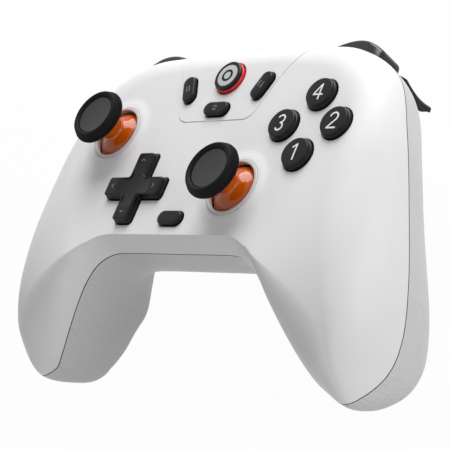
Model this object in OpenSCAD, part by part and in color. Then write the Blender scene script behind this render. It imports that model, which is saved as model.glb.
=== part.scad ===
// Wireless gamepad, lying face up.
// Drawn in a face frame: z = 0 is the flat face, x runs left to right, y runs from the grips to the
// bumpers, and depths below the face are negative. place() then moves it so that the origin is the
// middle of its box, at the lowest point.

/* [Shell] */
// Width across the grips
body_w = 154.4; // [150:0.2:162]
// Top edge, measured up from the middle of the left stick row's lower line
top_y = 45; // [44:0.5:47]
// Bottom edge between the grips, measured down from the same line
bottom_y = 25.5; // [25:0.5:28]
// Half length of the straight bottom edge
bottom_half = 27; // [25:0.5:29]
// How far the grip tips reach below the bottom edge
grip_reach = 33.4; // [29:0.1:37]
// Depth of the parting line at the bottom edge
seam_bottom = 7.2; // [6:0.1:8]
// Depth of the parting line at the top edge
seam_top = 5.6; // [5.2:0.1:6]
// Depth of the parting line at the grip tips
seam_tip = 29.6; // [28:0.2:32]
// Depth of the back between the grips
body_depth = 28; // [27.6:0.2:31]
// Depth of the back of the grips
grip_depth = 50.5; // [48:0.5:53]
// Wall of both shells
wall = 2.2; // [1.8:0.1:2.4]
// Open line between the two shells
seam_gap = 0.35; // [0.1:0.05:0.5]
// Width of the bevel along the bottom edge
bevel_w = 2.6; // [2:0.1:4]

/* [Sticks] */
// Left stick, in from the grip's side
left_stick_in = 35.5; // [34.4:0.1:37]
// Left stick and face buttons, up from the reference line
high_row_y = 14; // [13:0.1:15]
// Right stick and cross pad, sideways from the middle
low_row_x = 20.8; // [20:0.1:22]
// Right stick and cross pad, down from the reference line
low_row_y = 7; // [6:0.1:7.5]
// Radius of the thumb cap
cap_r = 9.3; // [8.5:0.1:9.6]
// Height of the cap's rim above the face
cap_top = 12.2; // [11.5:0.1:13.5]
// Thickness of the cap at its rim
cap_t = 3.7; // [3:0.1:4.2]
// Radius of the dome that turns in the well
dome_r = 10.5; // [10.3:0.05:10.6]
// Wall of the dome
dome_wall = 1; // [0.8:0.1:1.2]
// Depth of the stick's pivot below the face
pivot_depth = 8; // [7.9:0.05:8.4]
// Outer radius of the trim ring
ring_r = 9.5; // [9.4:0.05:9.8]
// Inner radius of the trim ring
ring_inner = 8.4; // [8.3:0.05:8.6]
// Height of the raised collar under the ring
mound_h = 0.8; // [0.5:0.1:1.2]
// Outer radius of the raised collar
mound_r = 13.2; // [12:0.1:14]
// Free press of the stick
stick_press = 0.5; // [0.3:0.1:0.6]

/* [Face buttons] */
// Middle of the four buttons, in from the grip's side
cluster_in = 35.5; // [34.7:0.1:36.7]
// Each button from the middle of the four
cluster_r = 10.25; // [9.8:0.05:10.6]
// Radius of a face button
button_r = 5.26; // [4.8:0.02:5.4]
// Height of a face button above the face
button_h = 2; // [1.6:0.1:2.6]
// Travel of a face button
button_travel = 1.2; // [0.8:0.1:1.4]

/* [Cross pad] */
// Half span of the cross
pad_span = 12.3; // [11.5:0.1:12.6]
// Half width of an arm
pad_arm = 3.6; // [3.2:0.1:4]
// Height of the arms above the face
pad_h = 2.35; // [1.8:0.05:2.8]
// Depth of the pivot ball's centre
pad_pivot = 3; // [2.8:0.1:3.2]
// Radius of the pivot ball
pad_ball = 2; // [1.8:0.1:2.2]

/* [Centre buttons] */
// View and menu buttons, sideways
view_x = 15.8; // [15:0.1:16.4]
// View and menu buttons, up
view_y = 28.6; // [28:0.1:29.4]
// Slant of the view and menu buttons
view_angle = 67.8; // [60:0.2:80]
// Share button, up
share_y = 20.9; // [20.4:0.1:21.4]
// Function button, down
function_y = 17.5; // [17:0.1:18]
// Home button, up
home_y = 32.4; // [31.8:0.1:33]
// Radius of the home button
home_r = 5.14; // [4.6:0.02:5.4]
// Half length of a small button between its end centres
small_half = 2.6; // [2.2:0.1:2.8]
// Radius of a small button's ends
small_r = 2.33; // [2:0.02:2.5]
// Height of the small buttons
small_h = 1.3; // [1:0.1:1.8]
// Travel of the small and home buttons
small_travel = 0.6; // [0.4:0.1:0.8]
// Height of the centre panel above the face
panel_lift = 0.3; // [0.1:0.05:0.5]

/* [Shoulders] */
// Inner end of the bumper, in from the grip's side
bumper_inner = 50.7; // [49.2:0.1:51.7]
// Outer end of the bumper, in from the grip's side
bumper_end = 23; // [22.6:0.1:24]
// How far the bumper stands out of the top edge
bumper_proud = 4.1; // [3:0.1:4.4]
// Height of the bumper
bumper_h = 10; // [9:0.1:10.2]
// Inner side of the trigger, in from the grip's side
trigger_inner = 43.2; // [41.2:0.1:44.2]
// Outer side of the trigger, in from the grip's side
trigger_end = 22; // [21.8:0.1:24.2]
// Depth of the trigger's lip
trigger_lip = 30.2; // [29:0.1:32]
// Trigger axle, up from the reference line
axle_y = 32.6; // [32:0.1:33]
// Trigger axle, below the face
axle_depth = 20.5; // [20:0.1:21]
// Radius of the trigger axle
axle_r = 1.5; // [1.2:0.05:1.6]
// Wire of the trigger spring
spring_wire = 0.7; // [0.5:0.05:0.8]

/* [Inside] */
// Depth of the circuit board's upper face
board_depth = 15; // [14.8:0.1:15.2]
// Thickness of the circuit board
board_t = 1.6; // [1:0.1:1.6]
// Radius of a rumble motor
motor_r = 6; // [5.5:0.1:6.4]
// Length of a rumble motor
motor_l = 13; // [11:0.5:14]
// Radius of the left, heavier rumble weight, as a share of a grip's width
heavy_share = 0.158; // [0.14:0.002:0.164]
// Radius of the right, lighter rumble weight, as a share of the heavier one's
light_share = 0.85; // [0.75:0.01:0.92]
// Length of the battery
battery_l = 50; // [40:1:54]
// Width of the battery
battery_w = 32; // [26:1:34]
// Room left under the battery
battery_room = 1.7; // [1.5:0.1:3]

/* [Fits] */
// Gap round a button in its hole
hole_gap = 0.3; // [0.25:0.05:0.4]
// Radial clearance of a pin in its bore
pin_gap = 0.05; // [0.03:0.01:0.1]
// Gap between pieces that lie against each other
seat_gap = 0.1; // [0.05:0.05:0.15]

/* [Hidden] */
$fn = 48;
half_w = body_w / 2;
far = 200;
left_stick_x = half_w - left_stick_in;
cluster_x = half_w - cluster_in;
bumper_x0 = half_w - bumper_inner;
bumper_x1 = half_w - bumper_end;
trigger_x0 = half_w - trigger_inner;
trigger_x1 = half_w - trigger_end;
heavy_r = heavy_share * (half_w - bottom_half);
light_r = light_share * heavy_r;
battery_t = body_depth - wall - board_depth - board_t - seat_gap - battery_room;

// Shell stations from the middle to a grip tip. Each holds the inner rail (x, y, seam z), the outer
// rail (x, y, seam z), the front crown, the back crown, the front bevel and shoulder with their
// powers, and the back's two shoulders.
tip = [half_w - 10.6, -bottom_y - grip_reach, -seam_tip];
inner_rail = [
    [0, -bottom_y, -seam_bottom],
    [bottom_half - 10, -bottom_y, -seam_bottom],
    [bottom_half, -bottom_y - 0.5, -seam_bottom],
    [bottom_half + 6.6, -bottom_y - 3.7, -seam_bottom - 0.6],
    [bottom_half + 11.8, -bottom_y - 8.5, -seam_bottom - 3],
    [bottom_half + 16.7, -bottom_y - 14.7, -seam_bottom - 6.9],
    [half_w - 28.2, -bottom_y - grip_reach + 11.6, -seam_tip + 10.3],
    [half_w - 23.1, -bottom_y - grip_reach + 5.8, -seam_tip + 5.2],
    [half_w - 18.3, -bottom_y - grip_reach + 2.1, -seam_tip + 1.3],
    tip
];
outer_rail = [
    [0, top_y, -seam_top],
    [28, top_y + 0.1, -seam_top],
    [half_w - 31.7, top_y - 2, -seam_top],
    [half_w - 16.7, top_y - 10.5, -seam_top - 2.6],
    [half_w - 7.5, top_y - 29.1, -seam_top - 4.6],
    [half_w - 2.6, top_y - 51, -seam_top - 11.6],
    [half_w - 0.2, -bottom_y - grip_reach + 34.9, -seam_tip + 5.4],
    [half_w - 0.5, -bottom_y - grip_reach + 20.4, -seam_tip - 0.5],
    [half_w - 3.8, -bottom_y - grip_reach + 9.6, -seam_tip - 2.8],
    tip
];
front_crown = [0, 0, 0, 0, 0, -1.8, -5.6, -10.9, -17.4, -seam_tip];
back_crown = [for (rise = [6, 6, 6, 6, 5.4, 3, 0.3, 0.1, 6.5]) rise - grip_depth];
bevels = [for (grow = [0, 0, 0.2, 0.6, 1.6, 3.4, 5.9, 7.4, 7.4, 5.4]) bevel_w + grow];
bevel_powers = [1.12, 1.12, 1.12, 1.15, 1.6, 1.58, 1.48, 1.5, 1.64, 2];
shoulders = [8, 9, 11, 17, 24, 26.2, 25, 20.7, 14.5, 8];
shoulder_powers = [1.8, 1.8, 1.9, 2.1, 2, 1.9, 1.8, 1.8, 1.85, 2];
back_inner = [8.7, 8.7, 8.7, 8.7, 11.4, 14, 14, 14, 12, 8];
back_outer = [12, 12, 14, 20.9, 24, 23.2, 21.9, 20.7, 15.9, 8];
back_power = 2.2;
last = len(inner_rail) - 1;

function back_at(k) = k == last ? -seam_tip : back_crown[k];
function row(k) = concat(inner_rail[k], outer_rail[k],
    [front_crown[k], back_at(k), bevels[k], bevel_powers[k], shoulders[k], shoulder_powers[k],
     back_inner[k], back_outer[k]]);
// Before the middle the shell is mirrored; past the tip the two rails change places.
function mirrored(s) = [for (i = [0 : len(s) - 1]) i == 0 || i == 3 ? -s[i] : s[i]];
function swapped(s) = [s[3], s[4], s[5], s[0], s[1], s[2], s[7], s[6],
    s[8], s[9], s[10], s[11], s[12], s[13]];
stations = concat([mirrored(row(1))], [for (k = [0 : last]) row(k)], [swapped(row(last - 1))]);

function curve(a, b, c, d, s) = 0.5 * (2 * b + (c - a) * s + (2 * a - 5 * b + 4 * c - d) * s * s
    + (3 * b - a - 3 * c + d) * s * s * s);
function station(u) = let (k = min(floor(u), last - 1))
    curve(stations[k], stations[k + 1], stations[k + 2], stations[k + 3], u - k);
function clamp01(v) = min(1, max(0, v));
function smooth(a, b, v) = let (t = clamp01((v - a) / (b - a))) t * t * (3 - 2 * t);
// Rounded shoulder: 0 at the rail, 1 at the full height, after a superellipse of power p.
function round_up(d, a, p) = let (s = clamp01(d / a)) pow(1 - pow(1 - s, p), 1 / p);

// Places across a section, in three runs: the inner shoulder, the flat middle, the outer shoulder.
front_runs = [[0, 0.25, 0.55, 0.8], [0, 0.25, 0.5, 0.75], [1, 0.8, 0.6, 0.42, 0.27, 0.14, 0.05, 0]];
back_runs = [[0, 0.03, 0.1, 0.22, 0.4, 0.65], [0, 0.25, 0.5, 0.75], [1, 0.65, 0.4, 0.22, 0.1, 0.03, 0]];
// Largest part of a section that one shoulder may take, so that a flat is always left between them
run_share = 0.46;
function across(runs, a, b, len) = concat([for (f = runs[0]) f * a],
    [for (f = runs[1]) a + f * (len - b - a)], [for (f = runs[2]) len - f * b]);

function front_row(u, inset) = let (
    s = station(u), full = norm([s[3] - s[0], s[4] - s[1]]),
    a = min(s[8], run_share * full), b = min(s[10], run_share * full))
    [for (d = across(front_runs, a, b, full)) let (
        t = (inset + d * (full - 2 * inset) / full) / full,
        seam = s[2] + t * (s[5] - s[2]),
        rise = round_up(d, a, s[9]) * round_up(full - d, b, s[11]))
        [s[0] + t * (s[3] - s[0]), s[1] + t * (s[4] - s[1]), seam + (s[6] - inset - seam) * rise]];

// The back is flat between the grips and falls away along two legs that run down into them.
leg_x0 = 34;
leg_x1 = 47;
leg_y0 = -40;
leg_y1 = 24;
leg_fade = 0.9;
nose_from = last - 1.5;
function back_z(x, y, u, deep) = let (
    leg = smooth(leg_x0, leg_x1, x) * (1 - leg_fade * smooth(leg_y0, leg_y1, y)),
    flat = -body_depth + (deep + body_depth) * leg)
    flat + (deep - flat) * smooth(nose_from, last, u);
function back_row(u, inset) = let (
    s = station(u), full = norm([s[3] - s[0], s[4] - s[1]]),
    a = min(s[12], run_share * full), b = min(s[13], run_share * full))
    [for (d = across(back_runs, a, b, full)) let (
        t = (inset + d * (full - 2 * inset) / full) / full,
        x = s[0] + t * (s[3] - s[0]), y = s[1] + t * (s[4] - s[1]),
        seam = s[2] + t * (s[5] - s[2]) - seam_gap,
        fall = round_up(d, a, back_power) * round_up(full - d, b, back_power))
        [x, y, seam + (back_z(x, y, u, s[7]) + inset - seam) * fall]];

// Rows run from the left tip through the middle to the right tip.
rows_half = 22;
inner_stop = last - 0.35;
function flip(row) = [for (p = row) [-p.x, p.y, p.z]];
function mid_of(row) = (row[0] + row[len(row) - 1] + 2 * row[floor(len(row) / 2)]) / 4;
row_places = [for (i = [-rows_half + 1 : rows_half - 1]) i / rows_half];
front_outer = [for (v = row_places) v < 0 ? flip(front_row(-v * last, 0)) : front_row(v * last, 0)];
front_inner = [for (v = row_places)
    v < 0 ? flip(front_row(-v * inner_stop, wall)) : front_row(v * inner_stop, wall)];
back_outer_rows = [for (v = row_places) v < 0 ? flip(back_row(-v * last, 0)) : back_row(v * last, 0)];
back_inner_rows = [for (v = row_places)
    v < 0 ? flip(back_row(-v * inner_stop, wall)) : back_row(v * inner_stop, wall)];

// One closed skin between an outer and an inner sheet that share their rails' ends.
module skin(outer, inner, face_up) {
    n = len(outer[0]);
    m = len(outer);
    sheet = n * m;
    left_tip = 2 * sheet;
    apex_out = [flip([tip - [0, 0, face_up ? 0 : seam_gap]])[0], tip - [0, 0, face_up ? 0 : seam_gap]];
    apex_in = [mid_of(inner[0]), mid_of(inner[m - 1])];
    points = concat([for (r = outer) each r], [for (r = inner) each r], apex_out, apex_in);
    function at(s, i, j) = s * sheet + i * n + j;
    out_l = left_tip;
    out_r = left_tip + 1;
    in_l = left_tip + 2;
    in_r = left_tip + 3;
    sheets = [for (i = [0 : m - 2]) for (j = [0 : n - 2]) each [
        [at(0, i, j), at(0, i, j + 1), at(0, i + 1, j)],
        [at(0, i + 1, j), at(0, i, j + 1), at(0, i + 1, j + 1)],
        [at(1, i, j), at(1, i + 1, j), at(1, i, j + 1)],
        [at(1, i + 1, j), at(1, i + 1, j + 1), at(1, i, j + 1)]]];
    rims = [for (i = [0 : m - 2]) each [
        [at(0, i, 0), at(0, i + 1, 0), at(1, i, 0)],
        [at(0, i + 1, 0), at(1, i + 1, 0), at(1, i, 0)],
        [at(0, i, n - 1), at(1, i, n - 1), at(0, i + 1, n - 1)],
        [at(0, i + 1, n - 1), at(1, i, n - 1), at(1, i + 1, n - 1)]]];
    fans = [for (j = [0 : n - 2]) each [
        [out_l, at(0, 0, j + 1), at(0, 0, j)],
        [out_r, at(0, m - 1, j), at(0, m - 1, j + 1)],
        [in_l, at(1, 0, j), at(1, 0, j + 1)],
        [in_r, at(1, m - 1, j + 1), at(1, m - 1, j)]]];
    corners = [
        [out_l, at(0, 0, 0), at(1, 0, 0)],
        [out_l, at(1, 0, 0), in_l],
        [out_l, in_l, at(1, 0, n - 1)],
        [out_l, at(1, 0, n - 1), at(0, 0, n - 1)],
        [out_r, at(1, m - 1, 0), at(0, m - 1, 0)],
        [out_r, in_r, at(1, m - 1, 0)],
        [out_r, at(1, m - 1, n - 1), in_r],
        [out_r, at(0, m - 1, n - 1), at(1, m - 1, n - 1)]];
    faces = concat(sheets, rims, fans, corners);
    polyhedron(points, face_up ? faces : [for (f = faces) [f[0], f[2], f[1]]]);
}

module place() {
    translate([0, -mid_y, -low_z]) children();
}
module both_sides() {
    children();
    mirror([1, 0, 0]) children();
}

// A closed solid through rings of points, each ring with the same number of points.
module loft(rings) {
    n = len(rings[0]);
    m = len(rings);
    points = [for (r = rings) each r];
    sides = [for (i = [0 : m - 2]) for (j = [0 : n - 1]) let (k = (j + 1) % n) each [
        [i * n + j, (i + 1) * n + j, i * n + k],
        [i * n + k, (i + 1) * n + j, (i + 1) * n + k]]];
    ends = [[for (j = [0 : n - 1]) j], [for (j = [0 : n - 1]) m * n - 1 - j]];
    polyhedron(points, concat(sides, ends));
}

// Outline of a button with round ends.
cap_steps = 8;
function stadium(half, r, z) = concat(
    [for (i = [0 : cap_steps]) let (t = -90 + 180 * i / cap_steps) [half + r * cos(t), r * sin(t), z]],
    [for (i = [0 : cap_steps]) let (t = 90 + 180 * i / cap_steps) [-half + r * cos(t), r * sin(t), z]]);
module stadium_prism(half, r, z0, z1) {
    translate([0, 0, z0])
        linear_extrude(z1 - z0)
            polygon([for (p = stadium(half, r, 0)) [p.x, p.y]]);
}

// Places of the controls
stick_places = [[-left_stick_x, high_row_y], [low_row_x, -low_row_y]];
button_places = [for (t = [-90, 0, 180, 90])
    [cluster_x + cluster_r * cos(t), high_row_y + cluster_r * sin(t)]];
pad_place = [-low_row_x, -low_row_y];
small_places = [[-view_x, view_y, -view_angle], [view_x, view_y, view_angle], [0, share_y, 0]];

// Face-button fits
flange_t = 1.2;
flange_out = 1.2;
flange_z = -wall - seat_gap;
membrane_t = 1;
board_top = -board_depth;

// Front and rear shells
pillar_r = 2.6;
pillar_bore = 1.3;
screw_r = 1.25;
head_r = 2.4;
head_h = 1.6;
boss_r = 3.9;
low_boss_r = 3.3;
boss_foot = 3.6;
low_boss_foot = 1.6;
grip_screw = [half_w - 12, -bottom_y - 8.5];
grip_screw_top = -7.7;
grip_split = -30;
low_screw = [bottom_half + 4.5, -bottom_y + 6.9];
low_screw_top = -1.2;
low_split = -12;
seat_below = 6;
screw_places = [[grip_screw, grip_screw_top, grip_split], [low_screw, low_screw_top, low_split]];

well_r = ring_r - 0.35;
ring_seat = 0.6;
module stick_mound() {
    top = ring_r + seat_gap / 2 + 0.4;
    rotate_extrude()
        polygon([[0, -wall + 0.3], [mound_r, -wall + 0.3], [mound_r, -0.35],
            [top + 0.4 * (mound_r - top), 0.42 * mound_h], [top, mound_h], [0, mound_h]]);
}

// Centre panel outline: a straight bottom, round corners and sides that lean out to the top edge.
panel_bottom = 17;
panel_half = 17;
panel_corner = 5;
panel_flare = [[21, 32], [26, 39.5], [29, 49]];
corner_steps = 5;
ledge_y = 38.5;
ledge_w = 1.5;
ledge_t = 1.4;
function panel_side(g) = concat(
    [for (i = [0 : corner_steps]) let (t = -90 + 78 * i / corner_steps)
        [panel_half - panel_corner + (panel_corner + g) * cos(t),
         panel_bottom + panel_corner + (panel_corner + g) * sin(t)]],
    [for (p = panel_flare) p + [g, 0]]);
module panel_outline(g) {
    side = panel_side(g);
    polygon(concat(side, [for (i = [len(side) - 1 : -1 : 0]) [-side[i].x, side[i].y]]));
}
module panel_prism(g, z0, z1) {
    translate([0, 0, z0])
        linear_extrude(z1 - z0)
            panel_outline(g);
}

// Cross pad outline
pad_round = 1.4;
function arm_end(span, arm) = [for (i = [-2 : 2]) let (t = 22.5 * i)
    [span - pad_round + pad_round * cos(t), (arm - pad_round) * i / 2 + pad_round * sin(t)]];
function pad_ring(grow, z) = [for (q = [0 : 3]) each
    [for (p = concat(arm_end(pad_span + grow, pad_arm + grow), [[pad_arm + grow, pad_arm + grow]]))
        [p.x * cos(90 * q) - p.y * sin(90 * q), p.x * sin(90 * q) + p.y * cos(90 * q), z]]];
module pad_hole() {
    translate([0, 0, -wall - 1])
        linear_extrude(wall + 3)
            polygon([for (p = pad_ring(hole_gap + 0.1, 0)) [p.x, p.y]]);
}

module front_shell() {
    color("whitesmoke") place() difference() {
        union() {
            skin(front_outer, front_inner, true);
            for (s = stick_places)
                translate([s.x, s.y, 0]) stick_mound();
            for (s = screw_places)
                both_sides()
                    translate([s[0].x, s[0].y, s[2]]) cylinder(h = s[1] - s[2], r = pillar_r);
            intersection() {
                difference() {
                    panel_prism(ledge_w, -wall - ledge_t + 0.2, -wall + 1);
                    panel_prism(-ledge_w, -far, far);
                }
                translate([-far / 2, 0, -far / 2]) cube([far, ledge_y, far]);
            }
        }
        for (s = stick_places)
            translate([s.x, s.y, 0]) {
                translate([0, 0, -wall - 1]) cylinder(h = wall + 4, r = well_r);
                translate([0, 0, -ring_seat]) cylinder(h = 4, r = ring_r + seat_gap / 2);
            }
        for (b = button_places)
            translate([b.x, b.y, 0]) {
                translate([0, 0, -wall - 2]) cylinder(h = wall + 4, r = button_r + hole_gap);
                translate([0, 0, flange_z - 4])
                    cylinder(h = 4 + seat_gap, r = button_r + flange_out + hole_gap);
            }
        for (s = small_places)
            translate([s.x, s.y, 0])
                rotate(s[2]) stadium_prism(small_half, small_r + hole_gap, -wall - 2, 4);
        translate([pad_place.x, pad_place.y, 0]) pad_hole();
        translate([0, -function_y, 0]) stadium_prism(small_half, small_r + hole_gap, -wall - 2, 3);
        panel_prism(seat_gap, -wall + 0.1, 6);
        panel_prism(-ledge_w, -wall - 3, 6);
        intersection() {
            panel_prism(seat_gap, -seam_top - 2, 6);
            translate([-far / 2, ledge_y, -far / 2]) cube(far);
        }
        for (s = screw_places)
            both_sides()
                translate([s[0].x, s[0].y, s[2] - 1]) cylinder(h = 9, r = pillar_bore);
    }
}

// Shoulder bays and the socket's opening in the rear shell
bay_gap = 0.6;
bay_y = 30;
usb_half = 2.84;
usb_r = 1.63;
usb_depth = 13.2;
usb_rim = 0.3;
usb_l = 7.5;
motor_x = half_w - 22.2;
motor_y0 = -bottom_y - 14;
motor_z = -0.594 * grip_depth;
cradle_w = 10;
cradle_l = 8;
cradle_foot = 6.8;
function rail_y(x) = let (u = rail_u(x, 0, 4, 0)) station(u)[4];
function rail_z(x) = let (u = rail_u(x, 0, 4, 0)) station(u)[5];
function rail_u(x, lo, hi, n) = n > 18 ? (lo + hi) / 2 :
    let (m = (lo + hi) / 2) station(m)[3] < x ? rail_u(x, m, hi, n + 1) : rail_u(x, lo, m, n + 1);

module rear_shell() {
    color("gainsboro") place() difference() {
        union() {
            skin(back_outer_rows, back_inner_rows, false);
            both_sides() {
                translate([grip_screw.x, grip_screw.y, -grip_depth + boss_foot])
                    cylinder(h = grip_depth - boss_foot + grip_split - seat_gap, r = boss_r);
                translate([low_screw.x, low_screw.y, -body_depth + low_boss_foot])
                    cylinder(h = body_depth - low_boss_foot + low_split - seat_gap, r = low_boss_r);
                for (p = board_screw_places)
                    if (p.x > 0)
                        translate([p.x, p.y, -body_depth + 1])
                            cylinder(h = body_depth - 1 + board_top - board_t - seat_gap, r = 2.3);
                translate([motor_x - cradle_w / 2, motor_y0 + (motor_l - cradle_l) / 2,
                           -grip_depth + cradle_foot])
                    cube([cradle_w, cradle_l, grip_depth - cradle_foot + motor_z]);
            }
        }
        both_sides() {
            translate([motor_x, motor_y0 - 4, motor_z])
                rotate([-90, 0, 0]) cylinder(h = motor_l + 8, r = motor_r + seat_gap);
            for (s = screw_places)
                translate([s[0].x, s[0].y, 0]) {
                    translate([0, 0, -far]) cylinder(h = far + s[2] - seat_below, r = head_r + 0.3);
                    translate([0, 0, s[2] - seat_below - 1]) cylinder(h = seat_below + 2, r = screw_r + 0.2);
                }
            for (p = board_screw_places)
                if (p.x > 0)
                    translate([p.x, p.y, board_top - board_t - 4]) cylinder(h = 8, r = 1.15);
            translate([bumper_x0 - bay_gap, axle_y - 0.4, -seam_top - bumper_h - 1.2])
                cube([bumper_x1 - bumper_x0 + 2 * bay_gap, far, far]);
            translate([trigger_x0 - bay_gap, bay_y, -far + 1 - seam_top - bumper_h])
                cube([trigger_x1 - trigger_x0 + 2 * bay_gap, far, far]);
        }
        translate([0, top_y - 8, -usb_depth])
            rotate([-90, 0, 0]) stadium_prism(usb_half, usb_r + usb_rim, 0, 16);
    }
}

module centre_panel() {
    color("white") place() difference() {
        intersection() {
            translate([0, 0, panel_lift]) skin(front_outer, front_inner, true);
            panel_prism(0, -seam_top - 1, 6);
        }
        for (s = small_places)
            translate([s.x, s.y, 0])
                rotate(s[2]) stadium_prism(small_half, small_r + hole_gap, -wall - 2, 4);
        translate([0, home_y, -wall - 2]) cylinder(h = wall + 6, r = home_r + 0.35 + hole_gap);
    }
}

// Sticks
dome_low = 10;
neck_r = 3.3;
shaft_r = 1.5;
shaft_low = 3.6;
gimbal_r = 6;
gimbal_in = 4.3;
gimbal_h = 3.2;
trunnion_r = 1;
post_in = 6.4;
post_out = 8;
post_w = 3;
module_w = 16;
module_top = -pivot_depth - 4;
cap_foot = cap_top - cap_t;

module stick_ring() {
    rotate_extrude()
        polygon([[ring_inner, -ring_seat + seat_gap], [ring_r, -ring_seat + seat_gap],
            [ring_r, mound_h - 0.1], [ring_r - 0.25, mound_h + 0.15], [ring_inner + 0.25, mound_h + 0.15],
            [ring_inner, mound_h - 0.1]]);
}

// Thumb cap: a rolled rim round a dished top, hollow under the rim, with a socket for the neck.
module stick_cap() {
    rim = 1.1;
    dish_r = cap_r - 2.6;
    dish = 1;
    rotate_extrude()
        polygon(concat(
            [[0, cap_top - dish - 0.5]],
            [for (i = [1 : 5]) let (t = i / 5) [dish_r * t, cap_top - dish - 0.5 + 0.5 * t * t]],
            [[dish_r + 0.5, cap_top - 0.15]],
            [for (i = [0 : 4]) let (t = 90 - 22.5 * i)
                [cap_r - rim + rim * cos(t), cap_top - rim + rim * sin(t)]],
            [[cap_r, cap_foot + 0.8], [cap_r - 0.5, cap_foot], [neck_r + 0.6, cap_foot],
             [neck_r + 0.6, cap_foot + 0.8], [0, cap_foot + 0.8]]));
}

module stick_dome() {
    translate([0, 0, -pivot_depth]) {
        difference() {
            union() {
                sphere(dome_r, $fn = 96);
                cylinder(h = pivot_depth + cap_foot + 0.8 - seat_gap, r = neck_r);
            }
            sphere(dome_r - dome_wall, $fn = 96);
            translate([-far / 2, -far / 2, dome_r * sin(dome_low) - far]) cube(far);
        }
        translate([0, 0, -shaft_low]) cylinder(h = shaft_low + dome_r - dome_wall / 2, r = shaft_r);
    }
}

// Block that turns about y inside the gimbal and lets the shaft slide when the stick is pressed.
module stick_pivot() {
    translate([0, 0, -pivot_depth]) difference() {
        union() {
            translate([-2.5, -2.3, -2]) cube([5, 4.6, 4]);
            translate([0, -gimbal_r + 0.1, 0])
                rotate([-90, 0, 0]) cylinder(h = 2 * gimbal_r - 0.2, r = trunnion_r);
        }
        translate([0, 0, -10]) cylinder(h = 20, r = shaft_r + pin_gap);
    }
}

module stick_gimbal() {
    translate([0, 0, -pivot_depth]) difference() {
        union() {
            translate([0, 0, -gimbal_h / 2]) cylinder(h = gimbal_h, r = gimbal_r);
            translate([-post_out + 0.2, 0, 0])
                rotate([0, 90, 0]) cylinder(h = 2 * post_out - 0.4, r = trunnion_r);
        }
        translate([0, 0, -gimbal_h]) cylinder(h = 2 * gimbal_h, r = gimbal_in);
        translate([0, -gimbal_r - 1, 0])
            rotate([-90, 0, 0]) cylinder(h = 2 * gimbal_r + 2, r = trunnion_r + pin_gap);
    }
}

module stick_module() {
    difference() {
        union() {
            translate([-module_w / 2, -module_w / 2, board_top])
                cube([module_w, module_w, module_top - board_top]);
            for (s = [-1, 1])
                translate([s * (post_in + post_out) / 2 - (post_out - post_in) / 2, -post_w / 2, board_top])
                    cube([post_out - post_in, post_w, -pivot_depth + 1.6 - board_top]);
        }
        translate([0, 0, board_top + 0.5]) cylinder(h = 20, r = 4.4);
        translate([-post_out - 1, 0, -pivot_depth])
            rotate([0, 90, 0]) cylinder(h = 2 * post_out + 2, r = trunnion_r + pin_gap);
    }
}

module at_stick(i) {
    translate([stick_places[i].x, stick_places[i].y, 0]) children();
}
module left_stick_ring() { color("silver") place() at_stick(0) stick_ring(); }
module right_stick_ring() { color("silver") place() at_stick(1) stick_ring(); }
module left_stick_cap() { color("#222222") place() at_stick(0) stick_cap(); }
module right_stick_cap() { color("#222222") place() at_stick(1) stick_cap(); }
module left_stick_dome() { color("chocolate") place() at_stick(0) stick_dome(); }
module right_stick_dome() { color("chocolate") place() at_stick(1) stick_dome(); }
module left_stick_pivot() { color("dimgray") place() at_stick(0) stick_pivot(); }
module right_stick_pivot() { color("dimgray") place() at_stick(1) stick_pivot(); }
module left_stick_gimbal() { color("gray") place() at_stick(0) stick_gimbal(); }
module right_stick_gimbal() { color("gray") place() at_stick(1) stick_gimbal(); }
module left_stick_module() { color("darkslategray") place() at_stick(0) stick_module(); }
module right_stick_module() { color("darkslategray") place() at_stick(1) stick_module(); }

// Face buttons: a skirt, a stepped rim and a domed top over a flange that stops under the face.
plunger_r = 2.2;
function button_profile(r, h, skirt, foot) = concat(
    [[0, foot], [plunger_r, foot], [plunger_r, flange_z - flange_t], [r + flange_out, flange_z - flange_t],
     [r + flange_out, flange_z], [r, flange_z], [r, skirt], [r - 0.15, skirt + 0.15]],
    [for (i = [0 : 4]) let (t = 22.5 * i)
        [r - 0.95 + 0.8 * cos(t), h - 0.95 + 0.8 * sin(t)]],
    [[r * 0.5, h - 0.04], [0, h]]);
button_foot = flange_z - flange_t - 1;
module face_button(i) {
    translate([button_places[i].x, button_places[i].y, 0])
        rotate_extrude() polygon(button_profile(button_r, button_h, button_h * 0.42, button_foot));
}
module button_a() { color("#2b2b2b") place() face_button(0); }
module button_b() { color("#2b2b2b") place() face_button(1); }
module button_x() { color("#2b2b2b") place() face_button(2); }
module button_y() { color("#2b2b2b") place() face_button(3); }

// Small buttons: round-ended, with an eased top edge.
small_flange = -wall - 1.3 - seat_gap;
module small_button(lift) {
    top = small_h + lift;
    loft([stadium(small_half, small_r, small_flange - 0.4), stadium(small_half, small_r, top - 0.45),
        stadium(small_half, small_r - 0.16, top - 0.14), stadium(small_half, small_r - 0.5, top)]);
    stadium_prism(small_half, small_r + 1, small_flange - 1, small_flange);
}
module at_small(i) {
    translate([small_places[i].x, small_places[i].y, 0]) rotate(small_places[i][2]) children();
}
module view_button() { color("#2b2b2b") place() at_small(0) small_button(panel_lift); }
module menu_button() { color("#2b2b2b") place() at_small(1) small_button(panel_lift); }
module share_button() { color("#2b2b2b") place() at_small(2) small_button(panel_lift); }
module function_button() {
    color("#2b2b2b") place() translate([0, -function_y, 0]) small_button(0);
}

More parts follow.
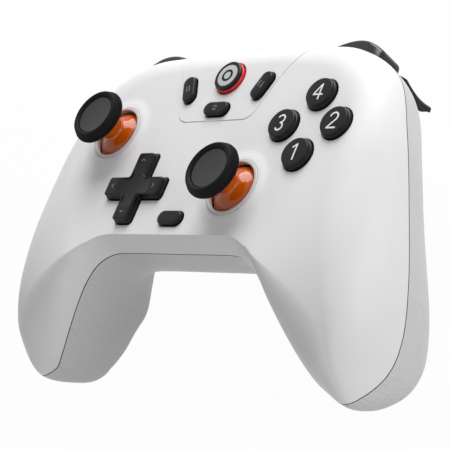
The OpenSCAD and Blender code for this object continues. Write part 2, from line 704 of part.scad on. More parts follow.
// Home button: a dark disc on a translucent red ring.
home_top = small_h + panel_lift + 0.4;
home_disc_t = 0.8;
module home_button() {
    color("#2b2b2b") place() translate([0, home_y, 0]) rotate_extrude()
        polygon([[0, small_flange - 1], [home_r - 1, small_flange - 1],
            [home_r - 1, home_top - home_disc_t], [home_r, home_top - home_disc_t],
            [home_r, home_top - 0.25], [home_r - 0.3, home_top], [0, home_top]]);
}
module home_ring() {
    color("crimson") place() translate([0, home_y, 0]) rotate_extrude()
        polygon([[home_r - 1 + seat_gap, small_flange - 1], [home_r + 1.2, small_flange - 1],
            [home_r + 1.2, small_flange], [home_r + 0.3, small_flange],
            [home_r + 0.3, home_top - home_disc_t - 0.25],
            [home_r + 0.1, home_top - home_disc_t - seat_gap],
            [home_r - 1 + seat_gap, home_top - home_disc_t - seat_gap]]);
}

// Cross pad: rounded arms, a dished middle, a disc under the face and a socket over the pivot ball.
pad_flange_z = -wall - 1.5;
pad_disc = pad_span + 0.3;
module dpad() {
    color("#2b2b2b") place() translate([pad_place.x, pad_place.y, 0]) difference() {
        union() {
            loft([pad_ring(0, pad_flange_z - 0.6), pad_ring(0, pad_h * 0.35), pad_ring(-0.35, pad_h * 0.4),
                pad_ring(-0.35, pad_h - 0.45), pad_ring(-0.5, pad_h - 0.15), pad_ring(-0.9, pad_h)]);
            translate([0, 0, pad_flange_z - flange_t]) cylinder(h = flange_t, r = pad_disc);
        }
        translate([0, 0, pad_h + dish_r - dish_depth]) sphere(dish_r, $fn = 96);
        translate([0, 0, -pad_pivot]) sphere(pad_ball + pin_gap, $fn = 64);
        translate([0, 0, -pad_pivot - 10]) cylinder(h = 10, r = pad_ball + pin_gap);
    }
}
dish_depth = 0.7;
dish_r = 40;
module dpad_pivot() {
    color("silver") place() translate([pad_place.x, pad_place.y, -pad_pivot]) sphere(pad_ball, $fn = 64);
}

// Rubber mats between the buttons and the board
mat_r = 4.2;
mat_dome_gap = 0.15;
module mat_dome(r, top) {
    translate([0, 0, board_top]) cylinder(h = top - board_top, r1 = r, r2 = r * 0.62);
}
module face_button_membrane() {
    color("lightgray") place() {
        for (b = button_places)
            translate([b.x, b.y, board_top]) {
                cylinder(h = membrane_t, r = mat_r + 0.8);
                translate([0, 0, -board_top]) mat_dome(mat_r, button_foot - button_travel - mat_dome_gap);
            }
        for (t = [0, 90])
            translate([cluster_x, high_row_y, board_top])
                rotate(t) translate([-cluster_r, -3, 0]) cube([2 * cluster_r, 6, membrane_t - 0.1]);
    }
}
pad_post_r = 1.7;
pad_tilt_room = 2.6;
module dpad_membrane() {
    reach = pad_span - 3.9;
    color("lightgray") place() translate([pad_place.x, pad_place.y, 0]) difference() {
        union() {
            translate([0, 0, board_top]) cylinder(h = membrane_t, r = pad_span - 0.9);
            for (t = [0 : 90 : 270])
                rotate(t) translate([reach, 0, 0])
                    mat_dome(2.6, pad_flange_z - flange_t - pad_tilt_room + 1.2);
            translate([0, 0, board_top]) cylinder(h = -pad_pivot - board_top - 1.5, r = pad_post_r);
        }
        translate([0, 0, -pad_pivot]) sphere(pad_ball + pin_gap, $fn = 64);
    }
}
// The mat stops short of the socket.
mat_high = top_y - usb_l - 1.2;
module centre_membrane() {
    foot = small_flange - 1 - small_travel - mat_dome_gap;
    color("lightgray") place() {
        linear_extrude_at(board_top, membrane_t)
            polygon([[-21, 17.5], [21, 17.5], [21, mat_high], [-21, mat_high]]);
        for (s = small_places)
            translate([s.x, s.y, 0]) mat_dome(2.8, foot);
        translate([0, home_y, 0]) mat_dome(3.6, foot);
        translate([0, -function_y, board_top]) cylinder(h = membrane_t, r = 4.4);
        translate([0, -function_y, 0]) mat_dome(2.8, foot);
    }
}
module linear_extrude_at(z, h) {
    translate([0, 0, z]) linear_extrude(h) children();
}

// Shoulder pieces follow the shell's top edge in plan.
bumper_in = 3.4;
bumper_steps = 14;
bumper_top = -seam_top - 0.5;
bumper_foot = bumper_top - bumper_h;
function bumper_x(t) = bumper_x0 + t * (bumper_x1 - bumper_x0);
// It leaves the top edge a little way from its inner end, and draws in again towards the outer end.
swell_from = 0.08;
swell_turn = 151;
function bumper_swell(t) = sin(swell_turn * clamp01((t - swell_from) / (1 - swell_from)));
function bumper_y(t) = rail_y(bumper_x(t)) + bumper_proud * bumper_swell(t);
bumper_outer = [for (i = [0 : bumper_steps]) let (t = i / bumper_steps) [bumper_x(t), bumper_y(t)]];
// Box of the whole pad, from the same points.
low_z = min([for (r = back_outer_rows) for (p = r) p.z]);
low_y = min(concat([for (r = back_outer_rows) for (p = r) p.y], [tip.y]));
high_y = max([for (p = bumper_outer) p.y]);
mid_y = (low_y + high_y) / 2;
function bumper_ring(t) = let (x = bumper_x(t), y1 = bumper_y(t),
    y0 = max(rail_y(x) - bumper_in, axle_y + 1.2), e = min(1, (y1 - y0) / 2),
    top = min(bumper_top, rail_z(x) - 0.5))
    concat([[x, y0, top], [x, y0, bumper_foot]],
        [for (i = [0 : 4]) let (a = 22.5 * i) [x, y1 - e + e * sin(a), bumper_foot + e - e * cos(a)]],
        [for (i = [0 : 4]) let (a = 22.5 * i) [x, y1 - e + e * cos(a), top - e + e * sin(a)]]);
hinge_r = 1.4;
hinge_pin = 0.9;
hinge_x = bumper_x0 + 2.4;
hinge_y = axle_y + 3;
module bumper() {
    difference() {
        union() {
            loft([for (i = [0 : bumper_steps]) bumper_ring(i / bumper_steps)]);
            translate([hinge_x, hinge_y, bumper_foot]) cylinder(h = bumper_h - 1, r = hinge_r + 1);
            translate([hinge_x - 1.6, hinge_y, bumper_foot + 1])
                cube([3.2, rail_y(hinge_x) - bumper_in - hinge_y + 0.5, bumper_h - 3]);
        }
        translate([hinge_x, hinge_y, bumper_foot - 1]) cylinder(h = bumper_h + 2, r = hinge_pin + pin_gap);
    }
}
module right_bumper() { color("#1c1c1e") place() bumper(); }
module left_bumper() { color("#1c1c1e") place() mirror([1, 0, 0]) bumper(); }

// Trigger: a curved blade that sweeps down into a lip, with two ears on the axle.
trigger_steps = 10;
blade_top = bumper_foot - 1;
blade_t = 3.4;
lip_curl = 1.7;
// Outer face of the blade below the bumper, as an offset from the top edge: hollow above the lip.
function blade_out(z) = let (s = (blade_top - z) / (blade_top + trigger_lip))
    0.8 - 3.4 * sin(125 * s) + lip_curl * s * s;
blade_zs = [for (i = [0 : 7]) blade_top - (blade_top + trigger_lip) * i / 7];
function trigger_ring(t) = let (
    x = trigger_x0 + t * (trigger_x1 - trigger_x0),
    ease = 0.9 * (1 - pow(sin(180 * clamp01(0.04 + 0.92 * t)), 0.4)),
    y = rail_y(x) - ease)
    concat([for (i = [0 : 6]) [x, y + blade_out(blade_zs[i]) - blade_t + ease, blade_zs[i] - 0.4 * i / 6]],
        [[x, y + blade_out(-trigger_lip) - 1.1, -trigger_lip - 0.5]],
        [for (i = [7 : -1 : 0]) [x, y + blade_out(blade_zs[i]), blade_zs[i]]]);
ear_w = 3;
// The outer ear lies further in, where the blade leaves room for the bracket's cheek.
ear_x = [trigger_x0 + 2.4, trigger_x1 - 5.4 - ear_w];
hub = 3;
floor_r = 8;
core_zs = [for (i = [5 : -1 : 0]) blade_zs[i] - 0.5];
// Section of the core: round the back of the axle, along the floor and up inside the blade.
function core_ring(x) = concat(
    [for (a = [110, 150, 190, 230]) [x, axle_y + hub * cos(a), -axle_depth + hub * sin(a)]],
    [for (a = [-82, -68, -56]) [x, axle_y + floor_r * cos(a), -axle_depth + floor_r * sin(a)]],
    [for (z = core_zs) [x, rail_y(x) + blade_out(z) - blade_t / 2, z]]);
core_steps = 5;
pocket_r = axle_r + 2;
module trigger() {
    x0 = ear_x[0];
    x1 = ear_x[1] + ear_w;
    difference() {
        union() {
            loft([for (i = [0 : trigger_steps]) trigger_ring(i / trigger_steps)]);
            loft([for (i = [0 : core_steps]) core_ring(x0 + (x1 - x0) * i / core_steps)]);
        }
        translate([trigger_x0 - 5, axle_y, -axle_depth])
            rotate([0, 90, 0]) cylinder(h = 40, r = axle_r + pin_gap);
        translate([x0 + ear_w, axle_y, -axle_depth])
            rotate([0, 90, 0]) cylinder(h = x1 - x0 - 2 * ear_w, r = pocket_r);
    }
}
module right_trigger() { color("#151515") place() trigger(); }
module left_trigger() { color("#151515") place() mirror([1, 0, 0]) trigger(); }

// Steel axle, carried in the bracket's two cheeks outside the ears
cheek_t = 1.6;
cheek_x = [ear_x[0] - cheek_t - 0.3, ear_x[1] + ear_w + 0.3];
axle_x0 = cheek_x[0];
axle_x1 = cheek_x[1] + cheek_t;
module axle() {
    translate([axle_x0, axle_y, -axle_depth]) rotate([0, 90, 0]) cylinder(h = axle_x1 - axle_x0, r = axle_r);
}
module right_trigger_pin() { color("silver") place() axle(); }
module left_trigger_pin() { color("silver") place() mirror([1, 0, 0]) axle(); }

// Torsion spring: open coils round the axle with two straight legs.
spring_turns = 4;
spring_pitch = 1.3;
spring_in = axle_r + 0.35;
coil_steps = 14;
coil_sides = 6;
coil_r = spring_in + spring_wire / 2;
coil_x0 = (ear_x[0] + ear_w + ear_x[1]) / 2 - spring_turns * spring_pitch / 2;
coil_n = spring_turns * coil_steps;
function coil_ring(i) = let (t = 360 * i / coil_steps, x = coil_x0 + spring_pitch * i / coil_steps)
    [for (k = [0 : coil_sides - 1]) let (a = -360 * k / coil_sides, r = coil_r + spring_wire / 2 * cos(a))
        [x + spring_wire / 2 * sin(a), axle_y + r * cos(t), -axle_depth + r * sin(t)]];
module torsion_spring() {
    loft([for (i = [0 : coil_n]) coil_ring(i)]);
}
module right_trigger_spring() { color("lightsteelblue") place() torsion_spring(); }
module left_trigger_spring() { color("lightsteelblue") place() mirror([1, 0, 0]) torsion_spring(); }

// Shoulder bracket: a deck on the board's edge, cheeks for the axle and a post for the bumper.
deck_y0 = 22;
deck_y1 = axle_y - 4.6;
deck_z = board_top - board_t - seat_gap;
deck_t = 2;
cheek_h = 3;
module bracket() {
    difference() {
        union() {
            translate([cheek_x[0], deck_y0, deck_z - deck_t])
                cube([axle_x1 - axle_x0, deck_y1 - deck_y0, deck_t]);
            for (x = cheek_x) {
                translate([x, deck_y0, -axle_depth - cheek_h])
                    cube([cheek_t, axle_y - deck_y0, 2 * cheek_h]);
                translate([x, axle_y, -axle_depth]) rotate([0, 90, 0]) cylinder(h = cheek_t, r = cheek_h);
            }
            translate([hinge_x - 2, deck_y0, deck_z - deck_t]) cube([cheek_x[0] - hinge_x + 3, 4, deck_t]);
            translate([hinge_x - 2, deck_y0, deck_z - deck_t]) cube([4, hinge_y - deck_y0 + 2, deck_t]);
            translate([hinge_x, hinge_y, deck_z - deck_t])
                cylinder(h = bumper_top - 1 - deck_z + deck_t, r = hinge_pin);
            translate([hinge_x, hinge_y, deck_z - deck_t])
                cylinder(h = bumper_foot - seat_gap - deck_z + deck_t, r = hinge_pin + 1);
        }
        translate([axle_x0 - 1, axle_y, -axle_depth])
            rotate([0, 90, 0]) cylinder(h = axle_x1 - axle_x0 + 2, r = axle_r + pin_gap);
    }
}
module right_shoulder_bracket() { color("dimgray") place() bracket(); }
module left_shoulder_bracket() { color("dimgray") place() mirror([1, 0, 0]) bracket(); }

// Bumper switches stand on the board's edge, just behind the bumpers.
switch_w = 6;
switch_gap = 0.9;
switch_x = bumper_x1 - 6.6;
switch_z = board_top + seat_gap;
switch_t = 3.4;
switch_h = 3.8;
module bumper_switches() {
    y1 = max(rail_y(switch_x + switch_w) - bumper_in, axle_y + 1.2) - switch_gap;
    color("darkslategray") place() both_sides() {
        translate([switch_x, y1 - switch_t, switch_z]) cube([switch_w, switch_t, switch_h]);
        translate([switch_x, deck_y0 + 1, switch_z]) cube([switch_w, y1 - switch_t / 2 - deck_y0 - 1, 1.2]);
    }
}

// Main board: a wide lower part under the controls and a narrow tongue up to the socket
board_screw_places = [[-36, -8], [36, -8], [-24, 24.5], [24, 24.5]];
board_half = 58;
board_low = -bottom_y + 10.6;
board_high = 26;
tongue_half = 22;
tongue_high = top_y - 5;
module main_board() {
    color("seagreen") place() difference() {
        linear_extrude_at(board_top - board_t, board_t)
            polygon([[-board_half, board_low], [board_half, board_low], [board_half, board_high],
                [tongue_half, board_high], [tongue_half, tongue_high], [-tongue_half, tongue_high],
                [-tongue_half, board_high], [-board_half, board_high]]);
        for (p = board_screw_places)
            translate([p.x, p.y, board_top - board_t - 1]) cylinder(h = board_t + 2, r = 1.2);
    }
}
module board_screws() {
    color("silver") place() for (p = board_screw_places)
        translate([p.x, p.y, 0]) {
            translate([0, 0, board_top]) cylinder(h = 1.2, r = 2);
            translate([0, 0, board_top - board_t - 2.6]) cylinder(h = board_t + 2.6, r = 1.1);
        }
}

module usb_socket() {
    color("silver") place() translate([0, top_y - usb_l - 0.4, -usb_depth])
        rotate([-90, 0, 0]) {
            difference() {
                stadium_prism(usb_half, usb_r, 0, usb_l);
                stadium_prism(usb_half, usb_r - 0.3, 1, usb_l + 1);
            }
            translate([-3.3, -0.35, 0.5]) cube([6.6, 0.7, usb_l - 1.2]);
        }
}

module battery_pack() {
    color("slategray") place()
        translate([-battery_l / 2, -bottom_y + 15, board_top - board_t - seat_gap - battery_t])
            cube([battery_l, battery_w, battery_t]);
}

// Rumble motors: a can with a shaft, and an off-centre half weight on it.
shaft_stub = 1;
weight_l = 6;
weight_gap = 1.2;
module rumble_motor() {
    translate([motor_x, motor_y0, motor_z]) rotate([-90, 0, 0]) {
        cylinder(h = motor_l, r = motor_r);
        cylinder(h = motor_l + weight_gap + weight_l, r = shaft_stub);
    }
}
module rumble_weight(r) {
    translate([motor_x, motor_y0 + motor_l + weight_gap, motor_z]) rotate([-90, 0, 0]) difference() {
        union() {
            intersection() {
                cylinder(h = weight_l, r = r);
                translate([-far / 2, 0, -1]) cube([far, far, weight_l + 2]);
            }
            cylinder(h = weight_l, r = 2.4);
        }
        translate([0, 0, -1]) cylinder(h = weight_l + 2, r = shaft_stub + pin_gap);
    }
}
module right_rumble_motor() { color("silver") place() rumble_motor(); }
module left_rumble_motor() { color("silver") place() mirror([1, 0, 0]) rumble_motor(); }
module right_rumble_weight() { color("darkgray") place() rumble_weight(light_r); }
module left_rumble_weight() { color("darkgray") place() mirror([1, 0, 0]) rumble_weight(heavy_r); }

screw_in = 7;
module shell_screws() {
    color("dimgray") place() for (s = screw_places)
        both_sides()
            translate([s[0].x, s[0].y, s[2] - seat_below]) {
                translate([0, 0, -head_h]) cylinder(h = head_h, r = head_r);
                cylinder(h = seat_below + screw_in, r = screw_r);
            }
}

front_shell();
rear_shell();
centre_panel();
left_stick_ring();
right_stick_ring();
left_stick_cap();
right_stick_cap();
left_stick_dome();
right_stick_dome();
left_stick_pivot();
right_stick_pivot();
left_stick_gimbal();
right_stick_gimbal();
left_stick_module();
right_stick_module();
button_a();
button_b();
button_x();
button_y();
view_button();
menu_button();
share_button();
function_button();
home_button();
home_ring();
dpad();
dpad_pivot();
face_button_membrane();
dpad_membrane();
centre_membrane();
left_bumper();
right_bumper();
left_trigger();
right_trigger();
left_trigger_pin();
right_trigger_pin();
left_trigger_spring();
right_trigger_spring();
left_shoulder_bracket();
right_shoulder_bracket();
bumper_switches();
main_board();
board_screws();
usb_socket();
battery_pack();
left_rumble_motor();
right_rumble_motor();
left_rumble_weight();
right_rumble_weight();
shell_screws();
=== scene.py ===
"""Looks of a wireless gamepad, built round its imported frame.

Shapes are worked out in a face frame, in millimetres: x to the right, y from the grips to the bumpers
and z out of the flat face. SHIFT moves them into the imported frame.
"""

import logging
import math
from dataclasses import dataclass, field
from enum import Enum
from typing import Callable, Sequence

import bmesh
import bpy
import numpy as np
from mathutils import Matrix, Vector


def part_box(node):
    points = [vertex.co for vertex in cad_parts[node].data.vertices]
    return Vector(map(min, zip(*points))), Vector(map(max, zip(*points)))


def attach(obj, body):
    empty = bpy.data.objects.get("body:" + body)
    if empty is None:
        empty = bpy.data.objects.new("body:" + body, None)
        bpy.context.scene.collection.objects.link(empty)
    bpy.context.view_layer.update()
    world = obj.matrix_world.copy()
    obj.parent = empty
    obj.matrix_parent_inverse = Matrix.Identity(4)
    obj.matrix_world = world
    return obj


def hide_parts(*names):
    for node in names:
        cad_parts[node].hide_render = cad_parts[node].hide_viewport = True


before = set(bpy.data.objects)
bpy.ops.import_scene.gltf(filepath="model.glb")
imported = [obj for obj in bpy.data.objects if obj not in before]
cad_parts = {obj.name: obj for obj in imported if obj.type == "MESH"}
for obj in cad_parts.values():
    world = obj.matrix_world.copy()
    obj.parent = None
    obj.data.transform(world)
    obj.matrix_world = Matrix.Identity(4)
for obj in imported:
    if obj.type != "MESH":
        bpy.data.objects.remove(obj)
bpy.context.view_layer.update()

LOG = logging.getLogger("gamepad")
Array = np.ndarray
Point = tuple[float, float]
# Weld distance in metres, millimetres in a metre, and the cross pad's ball in the face frame.
WELD_M = 2e-6
MM = 1000.0
BALL = (-20.8, -7.0, -3.0)


def face_shift() -> Array:
    """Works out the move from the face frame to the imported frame.

    Returns:
        The shift in millimetres, read off the cross pad's ball, whose centre is known in both frames.
    """
    low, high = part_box("dpad_pivot")
    return (np.array(low) + np.array(high)) * MM / 2.0 - np.array(BALL)


SHIFT = face_shift()


# Shapes


def smooth(a: float, b: float, v: Array) -> Array:
    """Smooth step: 0 at a, 1 at b, level at both ends."""
    t = np.clip((v - a) / (b - a), 0.0, 1.0)
    return t * t * (3.0 - 2.0 * t)


def round_up(d: Array, a: Array, p: Array) -> Array:
    """Rounded shoulder: a superellipse of power p that rises from 0 at the rail to 1 at distance a."""
    s = np.clip(d / a, 0.0, 1.0)
    return (1.0 - (1.0 - s) ** p) ** (1.0 / p)


def eased(corners: Sequence[tuple[float, float, float]], steps: int = 6) -> Array:
    """Draws a line through corners and eases each one.

    A corner with radius r is replaced by a quadratic curve between the two points at r from it.

    Args:
        corners: (first, second, radius) of each corner.
        steps: points on each eased corner.

    Returns:
        The line's points, shape (n, 2).
    """
    spots = np.array([c[:2] for c in corners], float)
    line = [spots[:1]]
    for before, here, after, (_, _, r) in zip(spots, spots[1:], spots[2:], corners[1:]):
        if r <= 0.0:
            line.append(here[None])
            continue
        back, on = before - here, after - here
        reach = min(r, 0.48 * np.linalg.norm(back), 0.48 * np.linalg.norm(on))
        a = here + back / np.linalg.norm(back) * reach
        b = here + on / np.linalg.norm(on) * reach
        s = np.linspace(0.0, 1.0, steps)[:, None]
        line.append((1 - s) ** 2 * a + 2 * s * (1 - s) * here + s * s * b)
    line.append(spots[-1:])
    return np.concatenate(line)


def revolve(profile: Array, centre: Sequence[float], steps: int = 128) -> Array:
    """Turns a profile about the upright line through a centre.

    Args:
        profile: (radius, height) points, shape (n, 2).
        centre: x, y and z of the foot of the axis.
        steps: points round the axis.

    Returns:
        A sheet, shape (n, steps, 3): x = cx + r cos t, y = cy + r sin t, z = cz + h.
    """
    t = np.linspace(0.0, 2.0 * np.pi, steps, endpoint=False)
    r, h = profile[:, :1], profile[:, 1:]
    return np.stack([centre[0] + r * np.cos(t), centre[1] + r * np.sin(t), centre[2] + h + 0.0 * t], -1)


def stadium(half: float, r: float, steps: int = 20) -> Array:
    """Outline with two straight sides and round ends: arcs of radius r about (half, 0) and (-half, 0)."""
    t = np.linspace(-np.pi / 2, np.pi / 2, steps)
    right = np.stack([half + r * np.cos(t), r * np.sin(t)], -1)
    return np.concatenate([right, -right])


def turned(outline: Array, degrees: float, place: Point) -> Array:
    """Turns an outline about the origin and moves it to its place."""
    a = math.radians(degrees)
    spin = np.array([[math.cos(a), math.sin(a)], [-math.sin(a), math.cos(a)]])
    return outline @ spin + np.array(place)


def level(outline: Array, z: float | Array) -> Array:
    """Puts an outline of (x, y) points at a height."""
    return np.concatenate([outline, np.broadcast_to(z, len(outline))[:, None]], 1)


@dataclass
class Patchwork:
    """Sheets of points in the face frame that are welded into one closed mesh.

    Attributes:
        points: the points of each sheet.
        faces: the quads of each sheet, as point numbers.
        slots: the finish number of each quad.
        count: points so far.
    """

    points: list[Array] = field(default_factory=list)
    faces: list[Array] = field(default_factory=list)
    slots: list[Array] = field(default_factory=list)
    count: int = 0

    def sheet(self, spots: Array, wrap: bool = False, loop: bool = False, slot: int = 0) -> "Patchwork":
        """Adds a sheet of quads.

        Args:
            spots: points, shape (rows, columns, 3).
            wrap: whether the last column joins the first.
            loop: whether the last row joins the first.
            slot: number of the finish that the sheet takes.

        Returns:
            This patchwork, so that calls can follow each other.
        """
        rows, cols = spots.shape[:2]
        i = np.arange(rows if loop else rows - 1)[:, None]
        j = np.arange(cols if wrap else cols - 1)[None, :]
        i2, j2 = (i + 1) % rows, (j + 1) % cols
        corners = np.broadcast_arrays(i * cols + j, i * cols + j2, i2 * cols + j2, i2 * cols + j)
        self.points.append(spots.reshape(-1, 3))
        self.faces.append(np.stack(corners, -1).reshape(-1, 4) + self.count)
        self.slots.append(np.full(len(self.faces[-1]), slot))
        self.count += rows * cols
        return self

    def fan(self, ring: Array) -> "Patchwork":
        """Closes a ring with triangles to its mean point."""
        return self.sheet(np.stack([ring, np.broadcast_to(ring.mean(0), ring.shape)]), wrap=True)

    def tower(self, rings: Sequence[Array]) -> "Patchwork":
        """Adds a closed solid through rings of equal count, with a fan at each end."""
        return self.sheet(np.stack(rings), wrap=True).fan(rings[0]).fan(rings[-1])

    def lathe(self, profile: Array, centre: Sequence[float], steps: int = 128,
              loop: bool = False) -> "Patchwork":
        """Adds a profile turned about the upright line through a centre."""
        return self.sheet(revolve(profile, centre, steps), wrap=True, loop=loop)

    def block(self, low: Sequence[float], high: Sequence[float]) -> "Patchwork":
        """Adds a box between two corners."""
        x, y = (low[0], high[0]), (low[1], high[1])
        foot = np.array([[x[0], y[0]], [x[1], y[0]], [x[1], y[1]], [x[0], y[1]]])
        return self.tower([level(foot, low[2]), level(foot, high[2])])

    def mesh(self, name: str, flip: bool = False) -> bpy.types.Mesh:
        """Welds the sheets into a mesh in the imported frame.

        Args:
            name: the mesh's name.
            flip: whether left and right change places.

        Returns:
            The mesh, closed and facing outwards.
        """
        spots = np.concatenate(self.points) * np.array([-1.0 if flip else 1.0, 1.0, 1.0])
        made = bpy.data.meshes.new(name)
        made.from_pydata(((spots + SHIFT) * 1e-3).tolist(), [], np.concatenate(self.faces).tolist())
        made.polygons.foreach_set("material_index", np.concatenate(self.slots))
        work = bmesh.new()
        work.from_mesh(made)
        bmesh.ops.remove_doubles(work, verts=work.verts, dist=WELD_M)
        bmesh.ops.dissolve_degenerate(work, edges=work.edges, dist=WELD_M / 2)
        bmesh.ops.recalc_face_normals(work, faces=work.faces)
        if work.calc_volume(signed=True) < 0.0:
            bmesh.ops.reverse_faces(work, faces=work.faces)
        work.to_mesh(made)
        work.free()
        return made


def add_object(name: str, data: bpy.types.ID) -> bpy.types.Object:
    """Adds an object to the scene."""
    made = bpy.data.objects.new(name, data)
    bpy.context.scene.collection.objects.link(made)
    return made


def carve(piece: bpy.types.Object, cutters: Sequence[Patchwork], flip: bool = False) -> None:
    """Takes closed cutters out of a piece, one after the other, and keeps the result as its mesh."""
    tools = []
    for cutter in cutters:
        tool = add_object("cutter", cutter.mesh("cutter", flip))
        cut = piece.modifiers.new("cut", "BOOLEAN")
        cut.object, cut.operation, cut.solver = tool, "DIFFERENCE", "EXACT"
        tools.append(tool)
    graph = bpy.context.evaluated_depsgraph_get()
    done = bpy.data.meshes.new_from_object(piece.evaluated_get(graph))
    piece.modifiers.clear()
    old, piece.data = piece.data, done
    bpy.data.meshes.remove(old)
    done.name = piece.name
    for tool in tools:
        data = tool.data
        bpy.data.objects.remove(tool)
        bpy.data.meshes.remove(data)


# Finishes


def linear(code: str) -> tuple[float, float, float, float]:
    """Turns an sRGB hex colour into linear RGBA."""
    c = np.array([int(code[i : i + 2], 16) for i in (1, 3, 5)]) / 255.0
    lit = np.where(c <= 0.04045, c / 12.92, ((c + 0.055) / 1.055) ** 2.4)
    return (*lit.tolist(), 1.0)


def add_node(tree: bpy.types.NodeTree, kind: str, inputs: dict, **settings: object) -> bpy.types.Node:
    """Adds a node with its settings and links.

    Args:
        tree: the material's or world's nodes.
        kind: the node's type name.
        inputs: a value or a socket for each named or numbered input.
        settings: properties of the node.

    Returns:
        The node.
    """
    made = tree.nodes.new(kind)
    for key, value in settings.items():
        setattr(made, key, value)
    for key, value in inputs.items():
        if isinstance(value, bpy.types.NodeSocket):
            tree.links.new(value, made.inputs[key])
        else:
            made.inputs[key].default_value = value
    return made


class Grain(Enum):
    """How a surface was made, which gives its fine relief."""

    SPARK = "spark eroded mould"
    BRUSHED = "drawn or brushed metal"
    TRACKS = "tracks under solder resist"
    CREASED = "creased foil"


@dataclass(frozen=True)
class Finish:
    """A surface named for its material.

    Attributes:
        name: the material and how it was made.
        colour, shade: the two sRGB colours that slow blotches run between.
        roughness: mean roughness, which the blotches vary by spread either way.
        grain, grain_mm, depth_mm: the fine relief's kind, spacing and depth.
        blotch_mm: size of the slow blotches.
        metallic, ior, shine: as the shader takes them; shine is its specular level.
        drawn_out: scale of brushed grain along x, which makes it long.
    """

    name: str
    colour: str
    shade: str
    roughness: float
    spread: float = 0.04
    grain: Grain = Grain.SPARK
    grain_mm: float = 0.5
    depth_mm: float = 0.004
    blotch_mm: float = 16.0
    metallic: float = 0.0
    ior: float = 1.5
    shine: float = 0.5
    drawn_out: float = 0.06

    def relief(self, tree: bpy.types.NodeTree, where: bpy.types.NodeSocket) -> bpy.types.NodeSocket:
        """Makes the fine relief's height, from 0 to 1.

        Args:
            tree: the material's nodes.
            where: Object coordinates, in metres.

        Returns:
            The socket that holds the height.
        """
        scale = MM / self.grain_mm
        if self.grain is Grain.BRUSHED:
            where = add_node(tree, "ShaderNodeMapping",
                             {"Vector": where, "Scale": (self.drawn_out, 1.0, 1.0)}).outputs[0]
        if self.grain is Grain.TRACKS:
            return add_node(tree, "ShaderNodeTexVoronoi", {"Vector": where, "Scale": scale},
                            feature="F1", distance="CHEBYCHEV").outputs["Distance"]
        detail = 5.0 if self.grain is Grain.CREASED else 2.0
        return add_node(tree, "ShaderNodeTexNoise",
                        {"Vector": where, "Scale": scale, "Detail": detail}).outputs[0]

    def material(self) -> bpy.types.Material:
        """Builds the material, or finds it if it was built before.

        Returns:
            A material whose colour and roughness follow slow noise, with the fine relief as bump.
        """
        found = bpy.data.materials.get(self.name)
        if found:
            return found
        made = bpy.data.materials.new(self.name)
        made.use_nodes = True
        tree = made.node_tree
        shader = tree.nodes["Principled BSDF"]
        where = add_node(tree, "ShaderNodeTexCoord", {}).outputs["Object"]
        blotch = add_node(tree, "ShaderNodeTexNoise",
                          {"Vector": where, "Scale": MM / self.blotch_mm, "Detail": 3.0}).outputs[0]
        height = self.relief(tree, where)
        tint = add_node(tree, "ShaderNodeMix", {0: blotch, 6: linear(self.colour), 7: linear(self.shade)},
                        data_type="RGBA").outputs[2]
        rough = add_node(tree, "ShaderNodeMapRange",
                         {"Value": blotch, "From Min": 0.3, "From Max": 0.7,
                          "To Min": self.roughness - self.spread, "To Max": self.roughness + self.spread})
        bump = add_node(tree, "ShaderNodeBump",
                        {"Strength": 1.0, "Distance": self.depth_mm * 1e-3, "Height": height})
        linked = {"Base Color": tint, "Roughness": rough.outputs[0], "Normal": bump.outputs[0]}
        for socket, source in linked.items():
            tree.links.new(source, shader.inputs[socket])
        plain = {"Metallic": self.metallic, "IOR": self.ior, "Specular IOR Level": self.shine}
        for socket, value in plain.items():
            shader.inputs[socket].default_value = value
        return made


@dataclass(frozen=True)
class GripFinish(Finish):
    """Moulded plastic with a field of small raised dots on the grips, behind a fine ridge.

    Attributes:
        dot_mm: spacing of the dots. The real ones are about 0.7 mm; drawn coarser so that they show.
        edge: (nx, ny, nz, c) of the plane that bounds the field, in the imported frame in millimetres.
        ridge_mm, ridge_high: half width of the ridge, and its height against the dots.
    """

    dot_mm: float = 1.1
    ridge_mm: float = 0.4
    ridge_high: float = 1.2
    edge: tuple[float, float, float, float] = (0.158, -0.987, 0.0, 32.8)

    def relief(self, tree: bpy.types.NodeTree, where: bpy.types.NodeSocket) -> bpy.types.NodeSocket:
        """Makes rows of dots beyond the field's edge and a ridge along it.

        The distance from the edge is the dot product of (|x|, y, z) with the plane's direction, less c.

        Args:
            tree: the material's nodes.
            where: Object coordinates, in metres.

        Returns:
            The socket that holds the height.
        """
        def calc(operation: str, a: object, b: object = 0.0) -> bpy.types.NodeSocket:
            """Adds one step of arithmetic."""
            return add_node(tree, "ShaderNodeMath", {0: a, 1: b}, operation=operation).outputs[0]

        parts = add_node(tree, "ShaderNodeSeparateXYZ", {0: where}).outputs
        side = calc("ABSOLUTE", parts[0])
        nx, ny, nz, c = self.edge
        far = calc("ADD", calc("MULTIPLY", side, nx * MM), calc("MULTIPLY", parts[1], ny * MM))
        far = calc("SUBTRACT", calc("ADD", far, calc("MULTIPLY", parts[2], nz * MM)), c)
        field_on = calc("MINIMUM", calc("MAXIMUM", far, 0.0), 1.0)
        pitch = 2.0 * math.pi * MM / self.dot_mm
        waves = [calc("SINE", calc("MULTIPLY", p, pitch)) for p in (side, parts[1], parts[2])]
        total = calc("ADD", calc("ADD", waves[0], waves[1]), waves[2])
        dots = calc("MAXIMUM", calc("MULTIPLY", total, 0.5), 0.0)
        away = calc("ABSOLUTE", calc("MULTIPLY", far, 1.0 / self.ridge_mm))
        ridge = calc("MAXIMUM", calc("SUBTRACT", 1.0, away), 0.0)
        return calc("ADD", calc("MULTIPLY", dots, field_on), calc("MULTIPLY", ridge, self.ridge_high))


# Satin ABS from a spark-eroded mould: soft wide highlights, a white that is not quite even.
WHITE = Finish("abs_white_satin", "#f0f0f1", "#ececed", 0.42, depth_mm=0.002)
